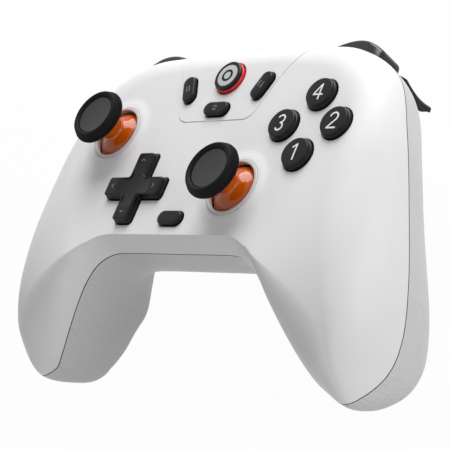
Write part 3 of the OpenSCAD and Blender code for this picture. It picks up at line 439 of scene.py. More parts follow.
# The same plastic in pale grey, with the grip dots raised by the mould.
GREY = GripFinish("abs_grey_dotted", "#d6d6d8", "#d0d0d2", 0.46, depth_mm=0.1)
# Painted shade of the parting line: the shells' faces along the rails are coloured dark grey to stand for the
# shade in the narrow gap, which light hardly reaches; a dark thin line to the eye.
PAINTED_SHADE_RIM = Finish("parting_line_painted_shade", "#2c2c2e", "#343436", 0.6, depth_mm=0.004)
# Pale grey ABS of the trim rings, smoother than the shell.
RING = Finish("abs_pale_grey_ring", "#d4d6d5", "#cdcfce", 0.34, depth_mm=0.001)
# Soft thermoplastic rubber: dark, wide dull highlights, dusty blotches.
RUBBER = Finish("rubber_black_moulded", "#08080a", "#0d0d0f", 0.6, spread=0.06, grain_mm=0.35,
                depth_mm=0.012, shine=0.1)
# The cap's dished pad: the same rubber, rubbed a little smoother and greyer.
PAD_RUBBER = Finish("rubber_grey_rubbed", "#262627", "#2d2d2e", 0.44, spread=0.05, grain_mm=0.3,
                    depth_mm=0.006, shine=0.3)
# Polished orange ABS: sharp reflections over a deep colour.
ORANGE = Finish("abs_orange_polished", "#c85a08", "#bd5206", 0.1, spread=0.02, depth_mm=0.0004, shine=0.35)
# Dark ABS keys, lightly polished: a soft sheen on the flats and bright edges.
KEY = Finish("abs_charcoal_keys", "#101012", "#0d0d0f", 0.28, depth_mm=0.0015, shine=0.18)
# Pad-printed ink on the keys.
INK = Finish("ink_white_printed", "#f1f1f1", "#e9e9e9", 0.5, depth_mm=0.001)
# Fine grey ink of the small marks.
FAINT_INK = Finish("ink_grey_printed", "#8b8b8d", "#838385", 0.45, depth_mm=0.001)
# Tinted polycarbonate that carries light round the home key.
RED = Finish("polycarbonate_red_ring", "#e01d26", "#d31720", 0.2, spread=0.03, depth_mm=0.0006, ior=1.58)
# Light grey ABS inset of the home key.
INSET = Finish("abs_light_grey_inset", "#c6c6c8", "#bfbfc1", 0.32, depth_mm=0.001)
# High-gloss black ABS of the bumpers: mirror-like with a deep body.
GLOSS = Finish("abs_black_gloss", "#0d0d0f", "#121214", 0.12, spread=0.03, depth_mm=0.0005, shine=0.4)
# Satin black ABS of the triggers.
TRIGGER = Finish("abs_black_satin", "#0b0b0c", "#101011", 0.36, depth_mm=0.004, shine=0.25)
# Glass-filled nylon of the hidden mechanism: grey, dry, with a fine fibre grain.
NYLON = Finish("nylon_glass_filled", "#3a3b3e", "#2f3033", 0.58,
               grain=Grain.BRUSHED, grain_mm=0.8, depth_mm=0.01)
# Bright drawn steel of pins, springs, cans and the socket.
STEEL = Finish("steel_bright_drawn", "#c3c4c6", "#aeb0b3", 0.24,
               grain=Grain.BRUSHED, grain_mm=0.4, depth_mm=0.004, metallic=1.0)
# Blackened screw steel, worn grey at the heads.
SCREW = Finish("steel_blackened", "#3a3a3c", "#545456", 0.36,
               grain=Grain.BRUSHED, grain_mm=0.5, depth_mm=0.004, metallic=1.0)
# Translucent silicone mats, drawn as a matt pale rubber.
SILICONE = Finish("silicone_rubber_mat", "#c9c9c4", "#bdbdb8", 0.6, grain_mm=0.6, depth_mm=0.006, ior=1.41)
# Green solder resist over copper tracks.
BOARD = Finish("solder_resist_green", "#1d6a3d", "#134f2c", 0.3,
               grain=Grain.TRACKS, grain_mm=2.4, depth_mm=0.03)
# Foil pouch of the cell: a dull metal film with soft creases.
FOIL = Finish("aluminium_foil_pouch", "#9aa0a8", "#868d96", 0.38,
              grain=Grain.CREASED, grain_mm=5.0, depth_mm=0.12, metallic=0.6)


def settle(name: str, patch: Patchwork, finish: Finish, body: str, nodes: Sequence[str] = (),
           cutters: Sequence[Patchwork] = (), crease: float = 35.0, flip: bool = False,
           rim: Finish | None = None) -> None:
    """Makes a patchwork a finished piece of the pad.

    Args:
        name: the piece's name.
        patch: its sheets.
        finish: its surface.
        body: the body that it rides on.
        nodes: the solids that it stands for.
        cutters: closed solids that are taken out of it.
        crease: the angle in degrees past which an edge stays sharp.
        flip: whether left and right change places.
        rim: the second finish, for sheets that ask for it; on the shells, the parting line's painted shade.
    """
    piece = add_object(name, patch.mesh(name, flip))
    for used in (finish, rim):
        if used:
            piece.data.materials.append(used.material())
    if cutters:
        carve(piece, cutters, flip)
    piece.data.shade_smooth()
    piece.data.set_sharp_from_angle(angle=math.radians(crease))
    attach(piece, body)
    if nodes:
        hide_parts(*nodes)
    LOG.info("%s: %d faces on %s", name, len(piece.data.polygons), body)


# Strokes


# Spacing of points along a stroke, how deep it is sunk and how far it stands proud, and points on an end.
STROKE_STEP = 0.12
STROKE_SUNK = 0.08
STROKE_PROUD = 0.025
STROKE_END = 6


def ribbon(line: Array, width: float, height: Callable[[Array, Array], Array]) -> Array:
    """Draws a flat stroke with round ends that lies on a surface.

    The line is taken at even steps; each step is spread by half the width to both sides, and past the ends
    the half width falls as a circle does.

    Args:
        line: (x, y) points.
        width: width of the stroke.
        height: the surface's z at x and y.

    Returns:
        A sheet of closed four-point sections, shape (n, 4, 3).
    """
    run = np.concatenate([[0.0], np.cumsum(np.linalg.norm(np.diff(line, axis=0), axis=1))])
    s = np.linspace(0.0, run[-1], max(4, int(run[-1] / STROKE_STEP)))
    spots = np.stack([np.interp(s, run, line[:, k]) for k in (0, 1)], -1)
    along = np.gradient(spots, axis=0)
    along /= np.linalg.norm(along, axis=1)[:, None]
    bend = np.radians(np.linspace(0.0, 90.0, STROKE_END + 1))[1:, None]
    half = width / 2.0
    head = spots[0] - along[0] * half * np.sin(bend[::-1])
    tail = spots[-1] + along[-1] * half * np.sin(bend)
    wide = np.concatenate([np.cos(bend[::-1]), np.ones((len(spots), 1)), np.cos(bend)]) * half
    ends = [np.repeat(along[k : k + 1], STROKE_END, 0) for k in (0, len(along) - 1)]
    along = np.concatenate([ends[0], along, ends[1]])
    spots = np.concatenate([head, spots, tail])
    out = np.stack([-along[:, 1], along[:, 0]], -1) * wide
    left, right = spots + out, spots - out
    z_left, z_right = height(*left.T), height(*right.T)
    return np.stack([np.c_[left, z_left - STROKE_SUNK], np.c_[left, z_left + STROKE_PROUD],
                     np.c_[right, z_right + STROKE_PROUD], np.c_[right, z_right - STROKE_SUNK]], 1)


def inked(lines: Sequence[Array], width: float, height: Callable[[Array, Array], Array]) -> Patchwork:
    """Draws lines as strokes of one width that lie on a surface."""
    made = Patchwork()
    for line in lines:
        made.sheet(ribbon(line, width, height), wrap=True)
    return made


def bow(x: float, y: float, r: float, start: float, stop: float) -> Array:
    """Arc of a circle from one angle to another, in degrees."""
    t = np.radians(np.linspace(start, stop, 32))
    return np.stack([x + r * np.cos(t), y + r * np.sin(t)], -1)


class Numeral(Enum):
    """Plain numerals for the four keys, as strokes in a box one unit tall."""

    ONE = 1
    TWO = 2
    THREE = 3
    FOUR = 4

    def strokes(self) -> list[Array]:
        """Returns the numeral's strokes."""
        if self is Numeral.ONE:
            return [np.array([[-0.2, 0.3], [0.06, 0.5]]), np.array([[0.06, 0.5], [0.06, -0.5]])]
        if self is Numeral.TWO:
            top = bow(0.0, 0.22, 0.28, 165.0, -35.0)
            return [np.concatenate([top, [[-0.3, -0.5]]]), np.array([[-0.3, -0.5], [0.32, -0.5]])]
        if self is Numeral.THREE:
            return [bow(-0.03, 0.25, 0.25, 150.0, -90.0), bow(-0.03, -0.25, 0.25, 90.0, -150.0)]
        return [np.array([[0.14, -0.5], [0.14, 0.5]]), np.array([[0.14, 0.5], [-0.32, -0.2]]),
                np.array([[-0.32, -0.2], [0.34, -0.2]])]


# Shells


class Half(Enum):
    """The two shells of the body."""

    FRONT = "front"
    BACK = "back"


# Places of the controls on the face; a small key also has its turn in degrees.
STICKS: dict[str, Point] = {"left": (-41.7, 14.0), "right": (20.8, -7.0)}
KEYS: dict[str, tuple[Point, Numeral]] = {
    "button_a": ((41.7, 3.75), Numeral.ONE), "button_b": ((51.95, 14.0), Numeral.TWO),
    "button_x": ((31.45, 14.0), Numeral.THREE), "button_y": ((41.7, 24.25), Numeral.FOUR)}
PAD: Point = BALL[:2]
SMALL: dict[str, tuple[float, float, float]] = {
    "view_button": (-15.8, 28.6, -67.8), "menu_button": (15.8, 28.6, 67.8),
    "share_button": (0.0, 20.9, 0.0), "function_button": (0.0, -17.5, 0.0)}
HOME: Point = (0.0, 32.4)
# x, y, top of the pillar and height where pillar and boss meet, for the grip screw and the middle one.
SCREWS = ((65.2, -34.0, -7.7, -30.0), (31.5, -18.6, -1.2, -12.0))


@dataclass
class ShellForm:
    """The skin of both shells: stations along two rails, with a rounded shoulder at each rail.

    A station holds the inner rail (x, y, seam z), the outer rail (x, y, seam z), the front crown, the
    back crown, the front's bevel and shoulder with their powers, and the back's two shoulders. Stations
    are joined by a Catmull-Rom curve.

    Attributes:
        wall: thickness of the shells.
        gap: open line between them.
        step: spacing of the rows along the outer rail.
        back, back_power: height of the flat back, and power of its shoulders.
        leg_x, leg_y, leg_share: where the back falls away to the grips, sideways and lengthways.
        tip_run, tip_room: stations over which the back closes at the tip, and the inside's room there.
        most_round: largest share of a section that one shoulder takes.
        crowd: power by which columns crowd to a rail.
        face_end, halvings: last station of the face, and steps of the search on it.
        tip: the point where the rails meet.
        rows: the stations from the middle to the tip.
    """

    wall: float = 2.2
    gap: float = 0.35
    step: float = 0.95
    back: float = -28.0
    back_power: float = 2.2
    leg_x: Point = (34.0, 47.0)
    leg_y: Point = (-40.0, 24.0)
    leg_share: float = 0.9
    tip_run: float = 1.5
    tip_room: float = 0.35
    most_round: float = 0.46
    crowd: float = 1.9
    face_end: float = 3.0
    halvings: int = 36
    tip: tuple[float, float, float] = (66.6, -58.9, -29.6)
    rows: tuple[tuple[float, ...], ...] = (
        (0.0, -25.5, -7.2, 0.0, 45.0, -5.6, 0.0, -44.5, 2.6, 1.12, 8.0, 1.8, 8.7, 12.0),
        (17.0, -25.5, -7.2, 28.0, 45.1, -5.6, 0.0, -44.5, 2.6, 1.12, 9.0, 1.8, 8.7, 12.0),
        (27.0, -26.0, -7.2, 45.5, 43.0, -5.6, 0.0, -44.5, 2.8, 1.12, 11.0, 1.9, 8.7, 14.0),
        (33.6, -29.2, -7.8, 60.5, 34.5, -8.2, 0.0, -44.5, 3.2, 1.15, 17.0, 2.1, 8.7, 20.9),
        (38.8, -34.0, -10.2, 69.7, 15.9, -10.2, 0.0, -45.1, 4.6, 1.5, 24.0, 2.0, 11.4, 24.0),
        (43.7, -40.2, -14.1, 74.6, -6.0, -17.2, -1.8, -47.5, 8.5, 2.0, 26.2, 1.9, 14.0, 23.2),
        (49.0, -47.3, -19.3, 77.0, -24.0, -24.2, -5.6, -50.2, 12.5, 2.0, 25.0, 1.8, 14.0, 21.9),
        (54.1, -53.1, -24.4, 76.7, -38.5, -30.1, -10.9, -50.4, 13.0, 2.0, 20.7, 1.8, 14.0, 20.7),
        (58.9, -56.8, -28.3, 73.4, -49.3, -32.4, -17.4, -44.0, 10.0, 2.0, 14.5, 1.85, 12.0, 15.9),
        (66.6, -58.9, -29.6, 66.6, -58.9, -29.6, -29.6, -29.6, 8.0, 2.0, 8.0, 2.0, 8.0, 8.0))

    def __post_init__(self) -> None:
        """Adds the stations before the middle, mirrored, and past the tip, with the rails changed round."""
        table = np.array(self.rows)
        before = table[1].copy()
        before[[0, 3]] *= -1.0
        after = table[-2][[3, 4, 5, 0, 1, 2, 7, 6, 8, 9, 10, 11, 12, 13]]
        self.table = np.concatenate([before[None], table, after[None]])
        self.last = len(table) - 1

    def station(self, u: Array) -> Array:
        """Catmull-Rom curve through the stations at places u, from 0 at the middle to last at the tip."""
        k = np.minimum(np.floor(u).astype(int), self.last - 1)
        s = (u - k)[:, None]
        a, b, c, d = (self.table[k + i] for i in range(4))
        square, cube = 2 * a - 5 * b + 4 * c - d, 3 * b - a - 3 * c + d
        return 0.5 * (2 * b + (c - a) * s + square * s**2 + cube * s**3)

    def places(self) -> Array:
        """Row places from -1 at the left tip to 1 at the right tip, evenly spaced along the outer rail."""
        u = np.linspace(0.0, self.last, 900)
        steps = np.linalg.norm(np.diff(self.station(u)[:, 3:6], axis=0), axis=1)
        run = np.concatenate([[0.0], np.cumsum(steps)])
        half = np.interp(np.linspace(0.0, run[-1], int(run[-1] / self.step)), run, u) / self.last
        return np.concatenate([-half[::-1], half[1:]])

    def height(self, half: Half, s: Array, u: Array, x: Array, y: Array, d: Array, t: Array,
               inset: float) -> Array:
        """Height of a skin at distance d across its section.

        Front: the seam, plus the rise to the crown times the two shoulders. Back: the same downwards, to a
        back that is flat between the grips and falls away along two legs.

        Args:
            half: which shell.
            s: station values, one row per place.
            u: places along the stations, as a column.
            x, y: plan position.
            d: distance from the inner rail.
            t: share of the way from the inner to the outer rail.
            inset: 0 for the outside, the wall for the inside.

        Returns:
            z of each point.
        """
        full, seam, a, b = self.section(half, s, t)
        if half is Half.FRONT:
            rise = round_up(d, a, s[:, 9:10]) * round_up(full - d, b, s[:, 11:12])
            return seam + (s[:, 6:7] - inset - seam) * rise
        seam = seam - self.gap
        leg = smooth(*self.leg_x, x) * (1.0 - self.leg_share * smooth(*self.leg_y, y))
        flat = self.back + (s[:, 7:8] - self.back) * leg
        deep = flat + (s[:, 7:8] - flat) * smooth(self.last - self.tip_run, self.last, u)
        power = self.back_power
        return seam + (deep + inset - seam) * round_up(d, a, power) * round_up(full - d, b, power)

    def section(self, half: Half, s: Array, t: Array) -> tuple[Array, Array, Array, Array]:
        """Returns a section's length, its seam height at t, and its two shoulder lengths."""
        full = np.maximum(np.hypot(s[:, 3] - s[:, 0], s[:, 4] - s[:, 1]), 1e-6)[:, None]
        first, second = (8, 10) if half is Half.FRONT else (12, 13)
        a = np.minimum(s[:, first : first + 1], self.most_round * full)
        b = np.minimum(s[:, second : second + 1], self.most_round * full)
        return full, s[:, 2:3] + t * (s[:, 5:6] - s[:, 2:3]), a, b

    def skin(self, half: Half, v: Array, inset: float) -> Array:
        """Works out one side of a shell.

        Args:
            half: which shell.
            v: row places from -1 to 1.
            inset: 0 for the outside, the wall for the inside.

        Returns:
            A sheet, one row per place and one column per step across the section.
        """
        u = np.abs(v) * (self.last - (self.tip_room if inset else 0.0))
        s = self.station(u)
        full, _, a, b = self.section(half, s, np.zeros((len(u), 1)))
        ease = np.linspace(0.0, 1.0, 26)
        near = 0.5 - 0.5 * np.cos(np.pi * ease) if half is Half.FRONT else ease**self.crowd
        flat = np.linspace(0.0, 1.0, 68 if half is Half.FRONT else 44)[1:-1]
        away = (1.0 - np.linspace(0.0, 1.0, 36)) ** self.crowd
        d = np.concatenate([near * a, a + flat * (full - a - b), full - away * b], 1)
        t = (inset + d * (full - 2.0 * inset) / full) / full
        x = s[:, 0:1] + t * (s[:, 3:4] - s[:, 0:1])
        y = s[:, 1:2] + t * (s[:, 4:5] - s[:, 1:2])
        z = self.height(half, s, u[:, None], x, y, d, t, inset)
        return np.stack([x * np.sign(v)[:, None], y, z], -1)

    def patch(self, outside: Array, inside: Array) -> Patchwork:
        """Joins the two sides of a shell along the rails and closes the grip tips."""
        made = Patchwork().sheet(outside).sheet(inside)
        for column in (0, -1):
            # The sheets along the rails take the second finish: the parting line's painted shade.
            made.sheet(np.stack([outside[:, column], inside[:, column]]), slot=1)
        for row in (0, -1):
            made.sheet(np.stack([inside[row], np.broadcast_to(outside[row, 0], inside[row].shape)]))
        return made

    def shell(self, half: Half, raise_by: Callable[[Array, Array], Array] | None = None) -> Patchwork:
        """Makes a whole shell, its grip tips pulled to one point, with an added relief on its outside."""
        v = self.places()
        outside, inside = self.skin(half, v, 0.0), self.skin(half, v, self.wall)
        drop = 0.0 if half is Half.FRONT else self.gap
        for row, side in ((0, -1.0), (-1, 1.0)):
            outside[row] = (side * self.tip[0], self.tip[1], self.tip[2] - drop)
        if raise_by is not None:
            outside[..., 2] += raise_by(outside[..., 0], outside[..., 1])
        return self.patch(outside, inside)

    def face_point(self, x: Array, share: Array, inset: float = 0.0) -> Array:
        """Finds front-skin points by their x and their share of the way across the section.

        The place u is found by halving, since x grows with u at a fixed share.

        Args:
            x: sideways position, zero or more.
            share: share of the way from the inner to the outer rail.
            inset: 0 for the outside, the wall for the inside.

        Returns:
            Points, shape (n, 3).
        """
        low, high = np.zeros_like(x), np.full_like(x, self.face_end)
        for _ in range(self.halvings):
            mid = (low + high) / 2.0
            s = self.station(mid)
            short = s[:, 0] + share * (s[:, 3] - s[:, 0]) < x
            low, high = np.where(short, mid, low), np.where(short, high, mid)
        s = self.station(low)
        t = share[:, None]
        full = self.section(Half.FRONT, s, t)[0]
        y = s[:, 1:2] + t * (s[:, 4:5] - s[:, 1:2])
        d = np.clip((t * full - inset) * full / (full - 2.0 * inset), 0.0, full)
        z = self.height(Half.FRONT, s, low[:, None], x[:, None], y, d, t, inset)
        return np.concatenate([x[:, None], y, z], 1)


@dataclass
class CentrePanel:
    """Raised panel round the home key: a straight foot, round corners and sides that lean out to the top.

    Attributes:
        form: the shell that it lies in.
        foot, half, corner: lower edge, half width there and corner radius.
        flare: (x, y) of the leaning sides.
        bend: radius of the bends in the sides.
        lift: height above the face.
        edge: width of the eased edge.
        cut, beyond: growth and height of each ring of the window's cutter, and its y past the top edge.
        columns: points from side to side.
    """

    form: ShellForm
    foot: float = 17.0
    half: float = 17.0
    corner: float = 5.0
    flare: tuple[Point, ...] = ((21.0, 32.0), (26.0, 39.5), (29.0, 49.0))
    bend: float = 4.0
    lift: float = 0.16
    edge: float = 0.1
    cut: tuple[Point, ...] = ((0.04, -12.0), (0.04, -0.1), (0.1, 0.02), (0.1, 6.0))
    beyond: float = 62.0
    columns: int = 81

    def side(self, grow: float) -> Array:
        """Right side of the outline from the foot to the top, grown outwards."""
        t = np.radians(np.linspace(-90.0, -12.0, 14))
        arc = np.stack([self.half - self.corner + (self.corner + grow) * np.cos(t),
                        self.foot + self.corner + (self.corner + grow) * np.sin(t)], -1)
        bent = eased([(*arc[-1], 0.0)] + [(x + grow, y, self.bend) for x, y in self.flare], 8)
        return np.concatenate([arc, bent[1:]])

    def width(self, y: Array, grow: float) -> Array:
        """Half width of the outline at y."""
        side = self.side(grow)
        return np.interp(y, side[:, 1], side[:, 0])

    def window(self) -> Patchwork:
        """Makes the cutter for the front shell: the outline with a little room, wider at the face."""
        rings = []
        for grow, z in self.cut:
            side = self.side(grow)
            side[-1, 1] = self.beyond
            rings.append(level(np.concatenate([side, side[::-1] * (-1.0, 1.0)]), z))
        return Patchwork().tower(rings)

    def patch(self) -> Patchwork:
        """Makes the panel: rows up the face, each a closed loop over the top and back under it.

        Each row is at one share of the way across the shell's section; its columns run from side to side,
        with the edge dropped by the width of the ease.

        Returns:
            The panel's sheets.
        """
        rail_foot = self.form.rows[0][1]
        span = self.form.rows[0][4] - rail_foot
        low = (self.foot - rail_foot) / span
        rows = np.concatenate([[low, low + self.edge / span], np.linspace(low + 0.008, 0.9, 60),
                               1.0 - 0.1 * (1.0 - np.linspace(0.02, 1.0, 34)) ** self.form.crowd])
        cols = np.concatenate([[-1.0], np.linspace(-1.0, 1.0, self.columns), [1.0]])
        outer = np.tile(np.r_[True, np.zeros(self.columns, bool), True], len(rows))
        loops = []
        for inset in (0.0, self.form.wall):
            reach = (1.0 - inset / span - low) / (1.0 - low)
            w = np.repeat(low + (rows - low) * reach, len(cols))
            wide = self.width(rail_foot + w * span, 0.0)
            x = np.tile(cols, len(rows)) * np.where(outer, wide, wide - self.edge)
            p = self.form.face_point(np.abs(x), w, inset)
            p[:, 0] = x
            drop = np.where(outer | (w == low), self.edge, 0.0) * (w < 0.999)
            p[:, 2] += self.lift - (drop if inset == 0.0 else 0.0)
            loops.append(p.reshape(len(rows), len(cols), 3))
        top, under = loops
        made = Patchwork().sheet(np.concatenate([top, under[:, ::-1]], 1), wrap=True)
        for row in (0, -1):
            made.sheet(np.stack([top[row], under[row]]))
        return made


@dataclass
class Body:
    """The two shells and the centre panel.

    Attributes:
        form: the skin that they share.
        mound, mound_in, mound_out: height, flat radius and foot radius of the collar round a stick.
        hole_gap, pad_gap, home_hole: room round a key and the cross pad, and radius of the home key's hole.
        hole_ease: how far a hole opens at the face.
        cut_foot, cut_top, clear: lower and upper ends of the cutters, and a length well past the shells.
        bumper_bay, bumper_back, bumper_floor: ends of a bumper's bay, its back wall and its floor.
        finger_bay, finger_back, finger_roof: the same for a trigger's bay, with its roof.
        head_r, shank_r, head_seat, thread: bores of a screw, depth of its seat and length of its thread.
        boss_feet, boss_r: foot and radius of each boss.
        socket, socket_z, socket_run: half length and radius of the socket's slot, its height and its run.
    """

    form: ShellForm = field(default_factory=ShellForm)
    mound: float = 0.6
    mound_in: float = 9.7
    mound_out: float = 13.4
    hole_gap: float = 0.3
    pad_gap: float = 0.4
    home_hole: float = 5.79
    hole_ease: float = 0.2
    cut_foot: float = -7.0
    cut_top: float = 5.0
    clear: float = 120.0
    bumper_bay: Point = (25.9, 52.2)
    bumper_back: float = 32.2
    bumper_floor: float = -16.8
    finger_bay: Point = (33.4, 55.8)
    finger_back: float = 30.0
    finger_roof: float = -14.6
    head_r: float = 2.7
    shank_r: float = 1.45
    head_seat: float = 6.0
    thread: float = 8.0
    boss_feet: Point = (-46.9, -26.4)
    boss_r: Point = (3.9, 3.3)
    socket: Point = (2.84, 1.93)
    socket_z: float = -13.2
    socket_run: Point = (37.0, 60.0)

    def collars(self, x: Array, y: Array) -> Array:
        """Raised collars: full height to mound_in from a stick's middle, then a smooth step to nothing."""
        return sum(self.mound * (1.0 - smooth(self.mound_in, self.mound_out, np.hypot(x - p[0], y - p[1])))
                   for p in STICKS.values())

    def hole(self, outline: Callable[[float], Array], face: float) -> list[Array]:
        """Rings of a cutter that follows an outline and opens a little at the face."""
        ease = self.hole_ease
        steps = ((0.0, self.cut_foot), (0.0, face - ease), (ease, face + 0.02), (ease, self.cut_top))
        return [level(outline(g), z) for g, z in steps]

    def small_hole(self, name: str, face: float) -> list[Array]:
        """Rings of the cutter for a small key."""
        x, y, turn = SMALL[name]
        r = CentreKeys.r + self.hole_gap
        return self.hole(lambda g: turned(stadium(CentreKeys.half, r + g), turn, (x, y)), face)

    def openings(self) -> Patchwork:
        """Cutters for the stick wells, the keys, the cross pad and the function key in the front shell."""
        made = Patchwork()
        for place in STICKS.values():
            foot, top, mouth = self.cut_foot, self.cut_top, self.mound_in
            well = np.array([(0.0, foot), (9.35, foot), (9.35, -0.6), (9.55, -0.6), (9.55, 0.42),
                             (mouth, 0.63), (mouth, top), (0.0, top)])
            made.lathe(well, (*place, 0.0))
        key_r = FaceKeys.r + self.hole_gap
        for place, _ in KEYS.values():
            made.tower(self.hole(lambda g: turned(stadium(0.0, key_r + g, 48), 0.0, place), 0.0))
        made.tower(self.hole(lambda g: CrossPad().outline(self.pad_gap + g) + np.array(PAD), 0.0))
        return made.tower(self.small_hole("function_button", 0.0))

    def panel_holes(self, lift: float) -> Patchwork:
        """Cutters for the three small keys and the home key in the panel."""
        made = Patchwork()
        for name in ("view_button", "menu_button", "share_button"):
            made.tower(self.small_hole(name, lift))
        r = self.home_hole
        return made.tower(self.hole(lambda g: turned(stadium(0.0, r + g, 64), 0.0, HOME), lift))

    def bays(self) -> list[Patchwork]:
        """Cutters for the shoulder bays, the socket and the screws in the rear shell."""
        shoulders, fingers = Patchwork(), Patchwork()
        for side in (-1.0, 1.0):
            near, far = sorted(side * x for x in self.bumper_bay)
            shoulders.block((near, self.bumper_back, self.bumper_floor),
                            (far, self.clear, self.clear / 2.0))
            near, far = sorted(side * x for x in self.finger_bay)
            fingers.block((near, self.finger_back, -self.clear), (far, self.clear, self.finger_roof))
            for x, y, _, split in SCREWS:
                seat, end = split - self.head_seat, split + 1.0
                bore = np.array([(0.0, -self.clear), (self.head_r, -self.clear), (self.head_r, seat),
                                 (self.shank_r, seat), (self.shank_r, end), (0.0, end)])
                shoulders.lathe(bore, (side * x, y, 0.0), 64)
        slot = stadium(*self.socket, 24)
        shoulders.tower([np.stack([slot[:, 0], np.full(len(slot), y), slot[:, 1] + self.socket_z], -1)
                         for y in self.socket_run])
        return [shoulders, fingers]

    def pillars(self, half: Half) -> Patchwork:
        """Screw pillars under the front, or bosses in the rear: closed turned sections round a bore."""
        made = Patchwork()
        for side in (-1.0, 1.0):
            for (x, y, top, split), foot, r in zip(SCREWS, self.boss_feet, self.boss_r):
                seat, hold = split - self.head_seat, split + self.thread
                if half is Half.FRONT:
                    loop = [(1.3, split), (2.6, split), (2.6, top), (0.6, top), (0.6, hold), (1.3, hold)]
                else:
                    loop = [(self.head_r, foot), (r, foot), (r, split - 0.1), (self.shank_r, split - 0.1),
                            (self.shank_r, seat), (self.head_r, seat)]
                made.lathe(np.array(loop), (side * x, y, 0.0), 48, loop=True)
        return made

    def build(self) -> None:
        """Builds and dresses the shells, the panel and the screw pillars."""
        panel = CentrePanel(self.form)
        # The shells' rail sheets take the parting line's painted shade as their second finish.
        settle("front_cover", self.form.shell(Half.FRONT, self.collars), WHITE, "shell", ["front_shell"],
               [self.openings(), panel.window()], crease=40.0, rim=PAINTED_SHADE_RIM)
        settle("rear_cover", self.form.shell(Half.BACK), GREY, "shell", ["rear_shell"],
               self.bays(), crease=40.0, rim=PAINTED_SHADE_RIM)
        settle("home_panel", panel.patch(), WHITE, "shell", ["centre_panel"],
               [self.panel_holes(panel.lift)], crease=40.0)
        settle("front_pillars", self.pillars(Half.FRONT), WHITE, "shell")
        settle("rear_bosses", self.pillars(Half.BACK), GREY, "shell")


# Controls


